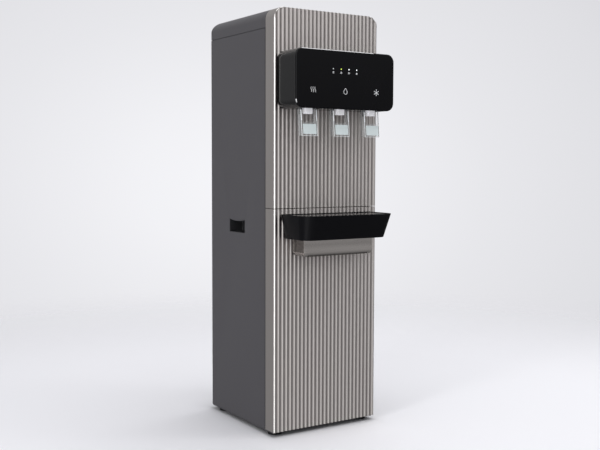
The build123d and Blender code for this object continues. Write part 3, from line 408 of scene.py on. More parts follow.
dark_grey = finish("dark_grey_powder_coat", (0.068, 0.0655, 0.0735), (0.058, 0.056, 0.063), 1400, 0.04 * mm, 0.42,
                   0.05)
grip_inset = 5.0 * mm
grip_lip = 4.0 * mm
grip_sag = 4.0 * mm
lip_sink = 0.9 * mm
flange = 14.0 * mm
seam_ease = 0.5 * mm
for hand, sign in (("left", -1), ("right", 1)):
    node = hand + "_side_panel"
    low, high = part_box(node)
    mouth_low, mouth_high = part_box(hand + "_grip_cup")
    y0, y1 = mouth_low.y + grip_inset, mouth_high.y - grip_inset
    z0, z1 = mouth_low.z + grip_inset, mouth_high.z - grip_inset
    near, upper = low.y + seam_ease, high.z - seam_ease
    bm = bmesh.new()
    outer = [bm.verts.new((0, y, z)) for y, z in
             ((near, low.z), (high.y, low.z), (high.y, upper), (near, upper))]
    rim = [bm.edges.new((outer[i], outer[(i + 1) % 4])) for i in range(4)]
    corners = [bm.verts.new((0, y, z)) for y, z in ((y0, z1), (y0, z0), (y1, z0), (y1, z1))]
    for i in range(3):
        bm.edges.new((corners[i], corners[i + 1]))
    # The mouth's upper edge sags in an arc between its corners.
    half = (y1 - y0) / 2
    sag_radius = (half * half + grip_sag * grip_sag) / (2 * grip_sag)
    bmesh.ops.spin(bm, geom=[corners[3]], cent=(0, (y0 + y1) / 2, z1 - grip_sag + sag_radius), axis=(1, 0, 0),
                   angle=-2 * asin(half / sag_radius), steps=16)
    bmesh.ops.remove_doubles(bm, verts=bm.verts, dist=1e-5)
    mouth = [e for e in bm.edges if e not in rim]
    centre = Vector((0, (y0 + y1) / 2, (z0 + z1) / 2))
    lip = bmesh.ops.extrude_edge_only(bm, edges=mouth)["geom"]
    lip_verts = verts_of(lip)
    bmesh.ops.scale(bm, vec=(1, 1 + 2 * grip_lip / (y1 - y0), 1 + 2 * grip_lip / (z1 - z0)),
                    space=Matrix.Translation(-centre), verts=lip_verts)
    lip_edges = [e for e in lip if isinstance(e, bmesh.types.BMEdge)]
    bmesh.ops.triangle_fill(bm, use_beauty=True, use_dissolve=False, edges=rim + lip_edges)
    for vert in bm.verts:
        sunk = vert not in outer and vert not in lip_verts
        vert.co.x = sign * (side - (lip_sink if sunk else 0))
    bmesh.ops.recalc_face_normals(bm, faces=bm.faces)
    if sum(f.normal.x * f.calc_area() for f in bm.faces) * sign < 0:
        bmesh.ops.reverse_faces(bm, faces=bm.faces)
    for y in (low.y, high.y - sheet):
        box_of(bm, *sorted((sign * (side - sheet), sign * (side - flange))), y, y + sheet, low.z, high.z)
    thicken(fit(node + "_sheet", bm, dark_grey, "dark_grey_steel", node), 0.4 * mm)
dress("cap", "top_cover", dark_grey, "dark_grey_steel", 0.5 * mm)
moulded_black = finish("moulded_black", (0.020, 0.020, 0.022), (0.014, 0.014, 0.016), 2600, 0.04 * mm, 0.55, 0.08)
# Black strips in the seams along the sides' front edges and under the cap are painted shade, the seams' shadow.
cap_low, cap_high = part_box("top_cover")
bm = bmesh.new()
for sign in (-1, 1):
    x0, x1 = sorted((sign * (side - 2.6 * mm), sign * (side - 1.7 * mm)))
    box_of(bm, x0, x1, low.y - 4 * mm, low.y + 4 * mm, low.z + 6 * mm, cap_low.z)
    box_of(bm, x0, x1, low.y - 4 * mm, high.y - 3 * mm, cap_low.z - 5 * mm, cap_low.z + 3 * mm)
fit("seam_shadow_strips", bm, moulded_black, "matte_black")
for node in ("left_grip_cup", "right_grip_cup"):
    dress(node + "_moulding", node, moulded_black, "matte_black", 0.4 * mm)

# Dispensing head: glossy face and housing.
# Both are black acrylic mouldings. The face is a plate with rounded corners and a bevel all round, in front of a
# shell that carries the valves, and it shows four lamps with small signs and a sign over each tap. Part of the
# bevel's top edge and a spot at its lower left corner are a bright metal, a painted highlight, and a black slab
# behind the plate paints the shade in the seam round it.
gloss_black = finish("gloss_black", (0.0055, 0.0055, 0.0065), (0.004, 0.004, 0.005), 60, 0.0015 * mm, 0.10, 0.03,
                     Specular_IOR_Level=0.28)
dress("head_shell", "head_housing", gloss_black, "gloss_black", 0.7 * mm, 3)
face_low, face_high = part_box("head_face")
head_front = face_low.y
plate_depth = 5.0 * mm
plate_bevel = 3.0 * mm
plate_radius = 20.0 * mm
seam_depth = 1.3 * mm
brim_start, brim_end = face_low.x + 15 * mm, face_high.x - 65 * mm
glint_z, glint_half = face_low.z + 17 * mm, 5 * mm


def round_edges(bm, edges, radius, segments):
    """Rounds the given edges of a mesh."""
    bmesh.ops.bevel(bm, geom=edges, offset=radius, offset_type="OFFSET", segments=segments, profile=0.5,
                    affect="EDGES", material=-1)


def runs_along(edge, axis):
    """Whether an edge runs along one axis: 0, 1 or 2 for x, y or z."""
    way = edge.verts[1].co - edge.verts[0].co
    return way.length - abs(way[axis]) < 1e-6


def face_slab(y0, y1, grow=0.0):
    """A slab with the outline of the face, its corners rounded, from y0 to y1."""
    bm = bmesh.new()
    box_of(bm, face_low.x - grow, face_high.x + grow, y0, y1, face_low.z - grow, face_high.z + grow)
    round_edges(bm, [e for e in bm.edges if runs_along(e, 1)], plate_radius, 14)
    return bm


def lit_by_ceiling(face):
    """Whether a brim face takes the painted highlight: the top edge, or the small glint at the lower left corner.
    """
    way, spot = face.normal, face.calc_center_median()
    upper = way.z > 0.25 and brim_start < spot.x < brim_end
    glint = way.x < -0.5 and abs(spot.z - glint_z) < glint_half
    return way.y < -0.1 and (upper or glint)


face_black = finish("face_black", (0.0035, 0.0035, 0.0045), (0.003, 0.003, 0.004), 60, 0.001 * mm, 0.08, 0.02,
                    Specular_IOR_Level=0.11)
# A bright metal that paints the highlight on part of the brim.
painted_brim_highlight = finish("painted_brim_highlight", (0.42, 0.42, 0.43), (0.36, 0.36, 0.37), 60, 0.001 * mm, 0.22, 0.03, 0.9)
for name, upper, material, stands_for in (("head_face_plate", False, face_black, ["head_face"]),
                                          ("face_brim_highlight", True, painted_brim_highlight, [])):
    bm = face_slab(head_front, head_front + plate_depth)
    brim = [e for e in bm.edges if all(abs(v.co.y - head_front) < 1e-6 for v in e.verts)]
    round_edges(bm, brim, plate_bevel, 4)
    bmesh.ops.bisect_plane(bm, geom=bm.verts[:] + bm.edges[:] + bm.faces[:], dist=1e-7,
                           plane_co=(brim_end, 0, 0), plane_no=(1, 0, 0))
    bm.normal_update()
    bmesh.ops.delete(bm, geom=[f for f in bm.faces if lit_by_ceiling(f) != upper], context="FACES")
    fit(name, bm, material, "gloss_black", *stands_for, crease=40)
# A black slab a little larger than the plate, just behind it, paints the shade in the seam round the plate.
seam_front = head_front + plate_depth
seam_shade_slab = face_slab(seam_front, seam_front + seam_depth, 0.08 * mm)
fit("face_seam_shade", seam_shade_slab, moulded_black, "matte_black")


# Signs and lamps on the face.
# White prints a tenth of a millimetre thick: heat, a drop and a snow crystal over the taps, and four small signs
# under four light pipes. The prints glow faintly, a painted light. The pipes stand in bores of the face, and one
# glows green, two white and one faintly.
print_lift = 0.1 * mm
sign_z = 0.8551
sign_x = {"hot": -0.0975, "ambient": -0.0035, "cold": 0.0905}
white_print_painted_glow = finish("white_print_painted_glow", (0.86, 0.87, 0.88), (0.80, 0.81, 0.82), 3000, 0.001 * mm, 0.45,
                     Emission_Color=(0.9, 0.92, 0.95, 1), Emission_Strength=0.25)


def rod_of(bm, start, end, radius, segments=24, caps=True):
    """A round bar from one point to another, or its bare mantle."""
    start, end = Vector(start), Vector(end)
    made = bmesh.ops.create_cone(bm, cap_ends=caps, segments=segments, radius1=radius, radius2=radius,
                                 depth=(end - start).length)["verts"]
    aim = (end - start).to_track_quat("Z", "Y").to_matrix().to_4x4()
    bmesh.ops.transform(bm, matrix=Matrix.Translation((start + end) / 2) @ aim, verts=made)
    return made


def stroke(bm, x, z, length, width, angle):
    """One straight printed bar, centred on x and z, turned in the face's plane."""
    bar = box_of(bm, -length / 2, length / 2, -print_lift, 0, -width / 2, width / 2)
    put(bm, bar, (x, head_front, z), angle)


def arc_bar(bm, centre, radius, width, lift, start, sweep, steps=10):
    """A thin bar bent about a centre in an upright plane, from the angle start through sweep. Lift is along y."""
    bar = bmesh.ops.create_grid(bm, x_segments=1, y_segments=1, size=0.5)["verts"]
    bmesh.ops.scale(bm, vec=(width, abs(lift), 1), verts=bar)
    put(bm, bar, (radius, lift / 2, 0))
    put(bm, bar, centre, -start)
    faces = list({f for v in bar for f in v.link_faces})
    bmesh.ops.spin(bm, geom=faces + list({e for f in faces for e in f.edges}) + bar, cent=centre,
                   axis=(0, copysign(1, lift), 0), angle=sweep, steps=steps)


def bow_stroke(bm, x, z, radius, width, start, sweep, steps=10):
    """A printed arc about x and z, from the angle start through sweep."""
    arc_bar(bm, (x, head_front, z), radius, width, -print_lift, start, sweep, steps)


def drop_sign(bm, x, z, radius, width):
    """A drop outline: a round belly and two straight shoulders that meet at the tip."""
    belly = radians(34)
    bow_stroke(bm, x, z, radius, width, pi - belly, pi + 2 * belly, 20)
    tip = radius / sin(belly)
    run = radius / tan(belly)
    for sign in (-1, 1):
        touch = Vector((sign * radius * cos(belly), radius * sin(belly)))
        middle = (touch + Vector((0, tip))) / 2
        stroke(bm, x + middle.x, z + middle.y, run + width / 2, width, sign * (pi / 2 - belly))


bm = bmesh.new()
line = 0.9 * mm
wave_radius, wave_swing, wave_line, wave_gap = 4.2 * mm, radians(94), 0.8 * mm, 5.6 * mm
for offset in (-wave_gap, 0, wave_gap):
    for way in (-1, 1):
        reach = way * wave_radius * cos(wave_swing / 2)
        start = (pi if way > 0 else 0) - wave_swing / 2
        bow_stroke(bm, sign_x["hot"] + offset + reach, sign_z + way * wave_radius * sin(wave_swing / 2),
                   wave_radius, wave_line, start, wave_swing)
drop_sign(bm, sign_x["ambient"], sign_z - 2.4 * mm, 5.2 * mm, line)
for arm in range(3):
    stroke(bm, sign_x["cold"], sign_z, 16.0 * mm, line, radians(90 + 60 * arm))
for arm in range(6):
    angle = radians(90 + 60 * arm)
    for sign in (-1, 1):
        lean = angle + sign * radians(50)
        root = Vector((cos(angle), sin(angle))) * 5.8 * mm
        middle = root + Vector((cos(lean), sin(lean))) * 0.8 * mm
        stroke(bm, sign_x["cold"] + middle.x, sign_z + middle.y, 1.6 * mm, 0.4 * mm, -lean)
fit("tap_signs", bm, white_print_painted_glow, "white_plastic")

lens_low, lens_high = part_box("indicator_lenses")
lens_z = middle_of("indicator_lenses").z
lens_radius = (lens_high.z - lens_low.z) / 2
lens_pitch = (lens_high.x - lens_low.x - 2 * lens_radius) / 3
lens_x = [lens_low.x + lens_radius + index * lens_pitch for index in range(4)]
lamp_looks = (((0.62, 0.66, 0.66), 0.25), ((0.62, 0.80, 0.10), 0.9), ((0.92, 0.96, 0.98), 0.95),
              ((0.92, 0.96, 0.98), 1.0))
for index, (x, (colour, glow)) in enumerate(zip(lens_x, lamp_looks)):
    name = f"lamp_lens_{index + 1}"
    bm = bmesh.new()
    rod_of(bm, (x, head_front - 0.25 * mm, lens_z), (x, head_front + 6 * mm, lens_z), lens_radius)
    lens_finish = finish(name, colour, tuple(c * 0.85 for c in colour), 1500, 0.002 * mm, 0.25, 0.05,
                         Emission_Color=(*colour, 1), Emission_Strength=glow)
    soften(fit(name, bm, lens_finish, "lens", *(() if index else ("indicator_lenses",))), 0.2 * mm)
bm = bmesh.new()
small_z = lens_z - 8.6 * mm
small_line = 0.75 * mm
for row in (-1, 0, 1):
    stroke(bm, lens_x[0], small_z + row * 1.7 * mm, 4.2 * mm, small_line, 0)
drop_sign(bm, lens_x[1], small_z - 0.7 * mm, 1.7 * mm, small_line)
bow_stroke(bm, lens_x[2], small_z, 1.9 * mm, small_line, 0, 2 * pi, 20)
for arm in range(3):
    stroke(bm, lens_x[3], small_z, 4.6 * mm, small_line, radians(90 + 60 * arm))
fit("lamp_signs", bm, white_print_painted_glow, "white_plastic")

# Nozzles.
# White moulded spouts with a round bore, which stand a little way out of the head's floor over each cup place.
# Each has a narrow guide wing at its left, behind a shadow gap, and both glow faintly, a painted light. Left of the
# wing, a small black block beside the lever's arm paints the shade under the head.
white_moulding = finish("white_moulding", (0.92, 0.92, 0.94), (0.88, 0.88, 0.90), 1800, 0.01 * mm, 0.30)
spout_white_painted_glow = finish("spout_white_painted_glow", (0.95, 0.95, 0.97), (0.91, 0.91, 0.93), 1800, 0.01 * mm, 0.20,
                     Emission_Color=(0.96, 0.96, 1.0, 1), Emission_Strength=0.16)
taps = ("hot", "ambient", "cold")
for tap in taps:
    dress(f"spout_{tap}", f"nozzle_{tap}", spout_white_painted_glow, "white_plastic", 0.5 * mm)
    low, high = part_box(f"nozzle_{tap}")
    left, y = low.x, middle_of(f"nozzle_{tap}").y
    # The wing's blade, and the web that joins it to the spout.
    bm = bmesh.new()
    box_of(bm, left - 4.0 * mm, left - 0.9 * mm, y - 4.5 * mm, y + 4.5 * mm, low.z + 1.5 * mm, high.z)
    box_of(bm, left - 1.0 * mm, left + 2.0 * mm, y - 1.0 * mm, y + 1.0 * mm, low.z + 4.0 * mm, high.z)
    soften(fit(f"spout_wing_{tap}", bm, spout_white_painted_glow, "white_plastic"), 0.5 * mm)
    bm = bmesh.new()
    box_of(bm, left - 9.8 * mm, left - 6.4 * mm, y + 1.0 * mm, y + 8.0 * mm, low.z - 1.0 * mm, high.z)
    soften(fit(f"shade_block_{tap}", bm, gloss_black, "gloss_black"), 0.8 * mm)

# Levers.
# Clear acrylic stirrups that hang on a steel pin and lean forward. A frosted pad on the lower front of each
# is where a cup's rim pushes, with a clear border round it and an open window above.
clear_acrylic = finish("clear_acrylic", (0.78, 0.81, 0.82), (0.74, 0.78, 0.79), 90, 0.001 * mm, 0.06, 0.02,
                       IOR=1.49)
tree = clear_acrylic.node_tree
facing = add_node(tree, "LayerWeight", Blend=0.35).outputs["Facing"]
feed(tree.nodes["Principled BSDF"], Alpha=add_node(tree, "MapRange", facing, To_Min=0.07, To_Max=0.34))
frosted = finish("frosted_pad", (0.80, 0.88, 0.88), (0.72, 0.81, 0.81), 2200, 0.02 * mm, 0.5)
# Finishes for painted light on the levers: a bright, faintly glowing one for highlights and a dark one for lines.
edge_highlight_finish = finish("painted_edge_highlight", (0.90, 0.93, 0.94), (0.84, 0.88, 0.90), 90, 0.001 * mm, 0.12,
                  Emission_Strength=0.22)
edge_dark_finish = finish("painted_edge_dark", (0.06, 0.062, 0.066), (0.04, 0.042, 0.046), 90, 0.001 * mm, 0.08)
pad_width, pad_height, pad_rise, pad_thickness, pad_corner = 38.0 * mm, 24.5 * mm, 4.6 * mm, 0.8 * mm, 1.5 * mm
lean_slope = 7.0 / 65.5
wall_depth = 15.6 * mm
below_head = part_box("head_housing")[0].z - 1.0 * mm
for tap in taps:
    body = f"lever_{tap}"
    dress(f"stirrup_{tap}", body, clear_acrylic, "clear_plastic", 0.5 * mm, body=body)
    low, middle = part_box(body)[0], middle_of(body).x
    bm = bmesh.new()
    box_of(bm, middle - pad_width / 2, middle + pad_width / 2, -pad_thickness, 0, 0, pad_height)
    round_edges(bm, [e for e in bm.edges if runs_along(e, 1)], pad_corner, 4)
    put(bm, bm.verts, (0, low.y + lean_slope * pad_rise + 0.2 * mm, low.z + pad_rise), -atan(lean_slope), "X")
    soften(fit(f"pad_{tap}", bm, frosted, "clear_plastic", body=body), 0.25 * mm)
    # The walls' cut edges carry thin rods: painted highlights outside, a wider painted glint on each upper arm,
    # and painted dark lines inside, as thick clear plastic shows them.
    bright, dark = bmesh.new(), bmesh.new()
    y, z = low.y + 0.5 * mm, low.z + 0.5 * mm
    for sign in (-1, 1):
        for edges, reach, radius, start, end in ((bright, 22.4, 0.6, 0.6, 64.0), (bright, 21.9, 1.2, 37.0, 62.0),
                                                 (dark, 20.4, 0.5, 0.6, 76.0)):
            x = middle + sign * reach * mm
            rod_of(edges, *((x, y + lean_slope * rise * mm, low.z + rise * mm) for rise in (start, end)),
                   radius * mm, 8)
        x, rear = middle + sign * 22.7 * mm, low.y + wall_depth
        rod_of(dark, (x, rear, low.z + 0.6 * mm),
               (x, rear + lean_slope * (below_head - low.z), below_head), 0.3 * mm, 8)
    rod_of(bright, (middle - 22.5 * mm, y, z), (middle + 22.5 * mm, y, z), 0.4 * mm, 8)
    fit(f"lever_edge_highlights_{tap}", bright, edge_highlight_finish, "clear_plastic", body=body, crease=70)
    fit(f"lever_edge_dark_lines_{tap}", dark, edge_dark_finish, "clear_plastic", body=body, crease=70)

# Drip tray and grille.
# The tray is a deep satin-black tub that widens upwards and hangs on the bracket's rails, and the grille a loose,
# glossy slotted plate on its ledge. Both are mouldings with eased edges.
satin_black = finish("satin_black", (0.0045, 0.0045, 0.0058), (0.0038, 0.0038, 0.0048), 1400, 0.003 * mm, 0.34,
                     0.04, Specular_IOR_Level=0.08)
dress("tray_tub", "drip_tray", satin_black, "gloss_black", 0.9 * mm, 3, "drip_tray")
mirror_black = finish("mirror_black", (0.006, 0.006, 0.007), (0.005, 0.005, 0.006), 60, 0.0005 * mm, 0.07, 0.02)
dress("tray_grate", "drip_grille", mirror_black, "gloss_black", 0.4 * mm, body="drip_grille")


# Bracket under the tray.
# A folded shelf in the same champagne steel, brushed across, which is bolted through the door. Its colour is banded
# with painted reflections and a painted shadow under the tray, and darker cheeks at its ends paint the shade there.
def paint_light_bands(material, low, high, stops):
    """Bands up a material between two heights: painted reflections of the room and a painted shadow under the tray.
    """
    tree = material.node_tree
    shader = tree.nodes["Principled BSDF"]
    height = add_node(tree, "SeparateXYZ", add_node(tree, "TexCoord").outputs["Object"]).outputs["Z"]
    bands = ramp(tree, add_node(tree, "MapRange", height, low, high), stops)
    shade = add_node(tree, "Mix", data_type="RGBA", blend_type="MULTIPLY", Factor=1.0,
                     A=shader.inputs["Base Color"].links[0].from_socket, B=bands)
    feed(shader, Base_Color=shade.outputs["Result"])


champagne_across = finish("champagne_bracket", (0.50, 0.468, 0.455), (0.44, 0.412, 0.40), (14, 2400, 2400),
                          0.0008 * mm, 0.28, 0.04, 1.0)
# A much darker copy of the bracket's steel for its ends: painted shade under the tray.
shaded_cheek_steel = finish("champagne_cheeks_painted_shade", (0.155, 0.145, 0.139), (0.135, 0.126, 0.121), (2400, 14, 2400),
                     0.0008 * mm, 0.30, 0.04, 1.0)
shelf_low, shelf_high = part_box("tray_bracket")
# Painted reflections and a painted shadow at the top, under the tray.
paint_light_bands(champagne_across, shelf_low.z, shelf_high.z,
       ((0.0, 0.42), (0.10, 0.62), (0.22, 0.98), (0.36, 1.0), (0.58, 0.78), (0.80, 0.94), (0.91, 1.2), (0.955, 0.5),
        (1.0, 0.2)))
paint_light_bands(shaded_cheek_steel, shelf_low.z, shelf_high.z, ((0.0, 0.8), (0.1, 1.0), (0.86, 0.9), (0.91, 0.2), (1.0, 0.12)))
shelf_bend = 6.0 * mm
shelf = solid_of("tray_bracket")
near_fold = [v for v in shelf.verts if v.co.z < shelf_low.z + 0.1 * mm and v.co.y < shelf_low.y + 0.1 * mm]
round_edges(shelf, [e for e in shelf.edges if all(v in near_fold for v in e.verts)], shelf_bend, 8)
soften(fit("tray_shelf", shelf, champagne_across, "bracket_metal", "tray_bracket", body="door"), 0.6 * mm, 2, 50)
# Thin darker cheeks on the shelf's ends are painted shade.
bm = bmesh.new()
for x0, x1 in ((shelf_low.x - 0.1 * mm, shelf_low.x + mm), (shelf_high.x - mm, shelf_high.x + 0.1 * mm)):
    box_of(bm, x0, x1, shelf_low.y + 0.6 * mm, front - 0.3 * mm, shelf_low.z + 10 * mm, shelf_high.z)
soften(fit("shelf_cheeks_painted_shade", bm, shaded_cheek_steel, "bracket_metal", body="door"), 0.3 * mm)

# Feet.
# Black rubber discs with a chamfered shoulder, moulded on steel studs that screw into the pan.
rubber = finish("black_rubber", (0.008, 0.008, 0.009), (0.005, 0.005, 0.006), 1500, 0.1 * mm, 0.75, 0.08,
                Specular_IOR_Level=0.2)
feet_low, feet_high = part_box("levelling_feet")
foot_radius, foot_height, foot_chamfer, stud_radius = 18.0 * mm, 8.0 * mm, 1.5 * mm, 4.0 * mm
bm = bmesh.new()
for x in (feet_low.x + foot_radius, feet_high.x - foot_radius):
    for y in (feet_low.y + foot_radius, feet_high.y - foot_radius):
        disc = rod_of(bm, (x, y, 0), (x, y, foot_height), foot_radius, 72)
        shoulder = [v for v in disc if v.co.z > foot_height - 1e-6]
        round_edges(bm, [e for e in bm.edges if all(v in shoulder for v in e.verts)], foot_chamfer, 2)
        rod_of(bm, (x, y, foot_height - mm), (x, y, feet_high.z), stud_radius)
fit("feet", bm, rubber, "black_rubber", "levelling_feet")

# Back sheet, chassis and hinge.
# Folded galvanised steel with a faint spangle: the recessed back with its pressed louvres, two posts, the shelf
# between the compartments and the plate that carries the door's upper pin. The base pan has the sides' dark coat as
# painted shade, for the shadow under the cabinet.
galvanised = finish("galvanised_steel", (0.56, 0.57, 0.58), (0.42, 0.43, 0.445), 110, 0.004 * mm, 0.42, 0.08, 1.0,
                    kind="Voronoi")
for node in ("rear_panel", "left_post", "right_post", "mid_deck", "upper_hinge_plate"):
    dress(node + "_folded", node, galvanised, "galvanised_steel", 0.25 * mm)
dress("base_pan_shade_coated", "base_pan", dark_grey, "dark_grey_steel", 0.25 * mm)
back_plate = cap_high.y - 28.0 * mm
louvre_x, louvre_top, louvre_pitch, louvre_rows = 70.0 * mm, cap_low.z - 53.2 * mm, 20.0 * mm, 13
hood_half, hood_height, hood_thickness, hood_lean = 46.0 * mm, 6.5 * mm, 0.8 * mm, radians(35)
bm = bmesh.new()
for row in range(louvre_rows):
    for x in (-louvre_x, louvre_x):
        hood = box_of(bm, x - hood_half, x + hood_half, 0, hood_thickness, -hood_height, 0)
        put(bm, hood, (0, back_plate - 0.2 * mm, louvre_top - row * louvre_pitch), hood_lean, "X")
soften(fit("louvre_hoods", bm, galvanised, "galvanised_steel"), 0.3 * mm)
polished = finish("polished_pins", (0.74, 0.74, 0.76), (0.62, 0.62, 0.65), (900, 900, 90), 0.002 * mm, 0.14, 0.04,
                  1.0)
dress("hinge_pin_pair", "hinge_pins", polished, "pin_steel", 0.4 * mm)
dress("lever_rods", "lever_pins", polished, "pin_steel", 0.3 * mm)
ferrite = finish("door_magnet_ferrite", (0.085, 0.085, 0.09), (0.06, 0.06, 0.065), 2200, 0.06 * mm, 0.6)
dress("catch_magnets", "door_magnets", ferrite, "magnet", 0.5 * mm)

# Inside of the door.
# A flat steel liner in grey primer is spot-welded behind the flutes. It carries the two hinge bosses, two tabs
# for the catch magnets, and the nuts of the tray bracket's studs.
primer = finish("grey_primer", (0.25, 0.25, 0.26), (0.21, 0.21, 0.22), 900, 0.02 * mm, 0.5)
liner_half, liner_face, liner_thickness, liner_gap = side - 1.7 * mm, front + 3.56 * mm, 0.8 * mm, 1.6 * mm
rib_pitch, rib_half, rib_rise, rib_gap = 80.0 * mm, 9.0 * mm, 1.2 * mm, 20.0 * mm
bm = bmesh.new()
box_of(bm, -liner_half, liner_half, liner_face - liner_thickness, liner_face,
       door_low.z + liner_gap, door_high.z - liner_gap)
for x in (-rib_pitch, 0, rib_pitch):
    box_of(bm, x - rib_half, x + rib_half, liner_face, liner_face + rib_rise,
           door_low.z + rib_gap, door_high.z - rib_gap)
soften(fit("door_lining", bm, primer, "dark_grey_steel", body="door"), 0.6 * mm)
pin_x, pin_y = side - 4.5 * mm, fold_back - 6.0 * mm
boss_radius, boss_height, boss_gap = 4.0 * mm, 10.5 * mm, 0.1 * mm
tab_half, tab_gap = 15.0 * mm, 60.0 * mm
stud_x, stud_z = 66.0 * mm, middle_of("tray_bracket").z
stud, nut = (5.0 * mm, 3.0 * mm, 24), (4.0 * mm, 5.6 * mm, 6)
bm = bmesh.new()
for end, inward in ((door_low.z, 1), (door_high.z, -1)):
    z0, z1 = sorted((end + inward * boss_gap, end + inward * boss_height))
    rod_of(bm, (pin_x, pin_y, z0), (pin_x, pin_y, z1), boss_radius, 40)
for z in (door_low.z + tab_gap, door_high.z - tab_gap):
    box_of(bm, -side + sheet, -side + 2 * tab_half, fold_back - 8 * mm, fold_back - 6.5 * mm,
           z - tab_half, z + tab_half)
for x in (-stud_x, stud_x):
    for length, radius, segments in (stud, nut):
        rod_of(bm, (x, liner_face, stud_z), (x, liner_face + length, stud_z), radius, segments)
soften(fit("door_fittings", bm, galvanised, "galvanised_steel", body="door"), 0.3 * mm)

# Screws.
# Plated cross-head screws: one low on each side, flush in the sheet, and three up each rear flange. Black bars in
# the heads paint the shade of their cross recesses.
screw_low, screw_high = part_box("panel_screws")
rear_end = 60.0 * mm
heights = (12.0 * mm + rear_end, (12.0 * mm + cap_low.z) / 2, cap_low.z - rear_end)
bm, recess_shade = bmesh.new(), bmesh.new()
for sign in (-1, 1):
    x, y = sign * (side - 7.0 * mm), screw_high.y
    for z in heights:
        rod_of(bm, (x, y - 1.8 * mm, z), (x, y - 0.05 * mm, z), 4.0 * mm, 32)
        for turned in (0, pi / 2):
            cross = box_of(recess_shade, -2.2 * mm, 2.2 * mm, -0.4 * mm, 0, -0.5 * mm, 0.5 * mm)
            put(recess_shade, cross, (x, y, z), turned, "Y")
    y, z = screw_low.y + 2.0 * mm, 26.0 * mm
    rod_of(bm, (sign * (side - 2.5 * mm), y, z), (sign * (side - 0.05 * mm), y, z), 2.6 * mm, 32)
    for turned in (0, pi / 2):
        cross = box_of(recess_shade, -0.2 * mm, 0.2 * mm, -1.5 * mm, 1.5 * mm, -0.3 * mm, 0.3 * mm)
        put(recess_shade, cross, (sign * (side - 0.2 * mm), y, z), turned, "X")
soften(fit("screw_heads", bm, polished, "pin_steel", "panel_screws"), 0.6 * mm, 3)
fit("screw_cross_shades", recess_shade, moulded_black, "matte_black")

# Condenser.
# A steel tube folded to and fro, with 24 wires welded across it, all dipped in gloss black enamel.
enamel = finish("black_enamel", (0.020, 0.020, 0.022), (0.012, 0.012, 0.014), 500, 0.02 * mm, 0.24, 0.06)
for node in ("condenser_tube", "condenser_wires"):
    fit(node + "_enamelled", solid_of(node), enamel, "black_steel", node, crease=50)

# Tube fittings, drain caps, power inlet and switches on the back.
# White push-in fittings with a grey collet, two ribbed black caps on the tank drains, and a black inlet plate with
# three plated pins and two rocker switches, red for hot and green for cold, marked with a bar and a ring.
collet_grey = finish("collet_grey", (0.33, 0.36, 0.40), (0.28, 0.31, 0.35), 1600, 0.01 * mm, 0.4)
tube_radius = 3.35 * mm
collets = bmesh.new()
for node in ("inlet_fitting", "drain_fitting"):
    dress(node + "_body", node, white_moulding, "white_plastic", 0.5 * mm)
    x, _, z = middle_of(node)
    ring = bmesh.ops.create_circle(collets, cap_ends=False, segments=40, radius=tube_radius)["verts"]
    put(collets, ring, (x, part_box(node)[1].y, z), pi / 2, "X")
    loop = [e for e in collets.edges if all(v in ring for v in e.verts)]
    # Outwards along the fitting's end, out to the collet's end, and back inwards to the bore.
    for grow, push in ((1.75, 0.0), (1.0, 1.6 * mm), (0.5714, 0.0)):
        grown = bmesh.ops.extrude_edge_only(collets, edges=loop)["geom"]
        verts = verts_of(grown)
        bmesh.ops.scale(collets, vec=(grow, 1, grow), space=Matrix.Translation((-x, 0, -z)), verts=verts)
        put(collets, verts, (0, push, 0))
        loop = [e for e in grown if isinstance(e, bmesh.types.BMEdge) and all(v in verts for v in e.verts)]
bmesh.ops.recalc_face_normals(collets, faces=collets.faces)
fit("fitting_collets", collets, collet_grey, "white_plastic")
caps_low, caps_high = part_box("drain_caps")
cap_radius, cap_ribs = 12.0 * mm, 20
caps = solid_of("drain_caps")
for x in (caps_low.x + cap_radius, caps_high.x - cap_radius):
    for rib in range(cap_ribs):
        bar = box_of(caps, cap_radius - 0.4 * mm, cap_radius + 0.6 * mm, -9.5 * mm, 0, -0.7 * mm, 0.7 * mm)
        put(caps, bar, (x, caps_high.y - 1.5 * mm, middle_of("drain_caps").z), rib * 2 * pi / cap_ribs)
fit("ribbed_caps", caps, moulded_black, "matte_black", "drain_caps")
dress("inlet_plate", "power_inlet", moulded_black, "matte_black", 0.4 * mm)
inlet_x, inlet_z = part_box("power_inlet")[0].x + 24.0 * mm, middle_of("power_inlet").z
bm = bmesh.new()
for dx, dz in ((-7 * mm, -2 * mm), (0, 3 * mm), (7 * mm, -2 * mm)):
    x, z = inlet_x + dx, inlet_z + dz
    box_of(bm, x - 1.1 * mm, x + 1.1 * mm, back_plate - 16 * mm, back_plate - 1.8 * mm, z - 2.6 * mm, z + 2.6 * mm)
soften(fit("inlet_blades", bm, polished, "pin_steel"), 0.4 * mm)
mark_lift, mark_line, ring_z = 0.15 * mm, 0.7 * mm, -4.6 * mm
for node, slot, colour, shade in (("hot_switch", "switch_red", (0.52, 0.03, 0.03), (0.44, 0.02, 0.02)),
                                  ("cold_switch", "switch_green", (0.03, 0.30, 0.10), (0.02, 0.25, 0.08))):
    rocker_finish = finish(node + "_plastic", colour, shade, 1500, 0.004 * mm, 0.25)
    dress(node + "_rocker", node, rocker_finish, slot, 0.3 * mm, body=node)
    x, _, z = middle_of(node)
    # The marks are in the same faintly glowing print, a painted light.
    bm = bmesh.new()
    box_of(bm, -0.4 * mm, 0.4 * mm, 0, mark_lift, 2.8 * mm, 6.4 * mm)
    arc_bar(bm, (0, 0, ring_z), 1.6 * mm, mark_line, mark_lift, 0, 2 * pi, 20)
    # The marks lie on the rocker's face, 4 mm above its pivot, and the rocker rests tilted by 8 degrees.
    put(bm, bm.verts, (0, 4.0 * mm, 0))
    put(bm, bm.verts, (x, back_plate - 0.5 * mm, z), radians(-8), "X")
    fit(node + "_mark", bm, white_print_painted_glow, "white_plastic", body=node)

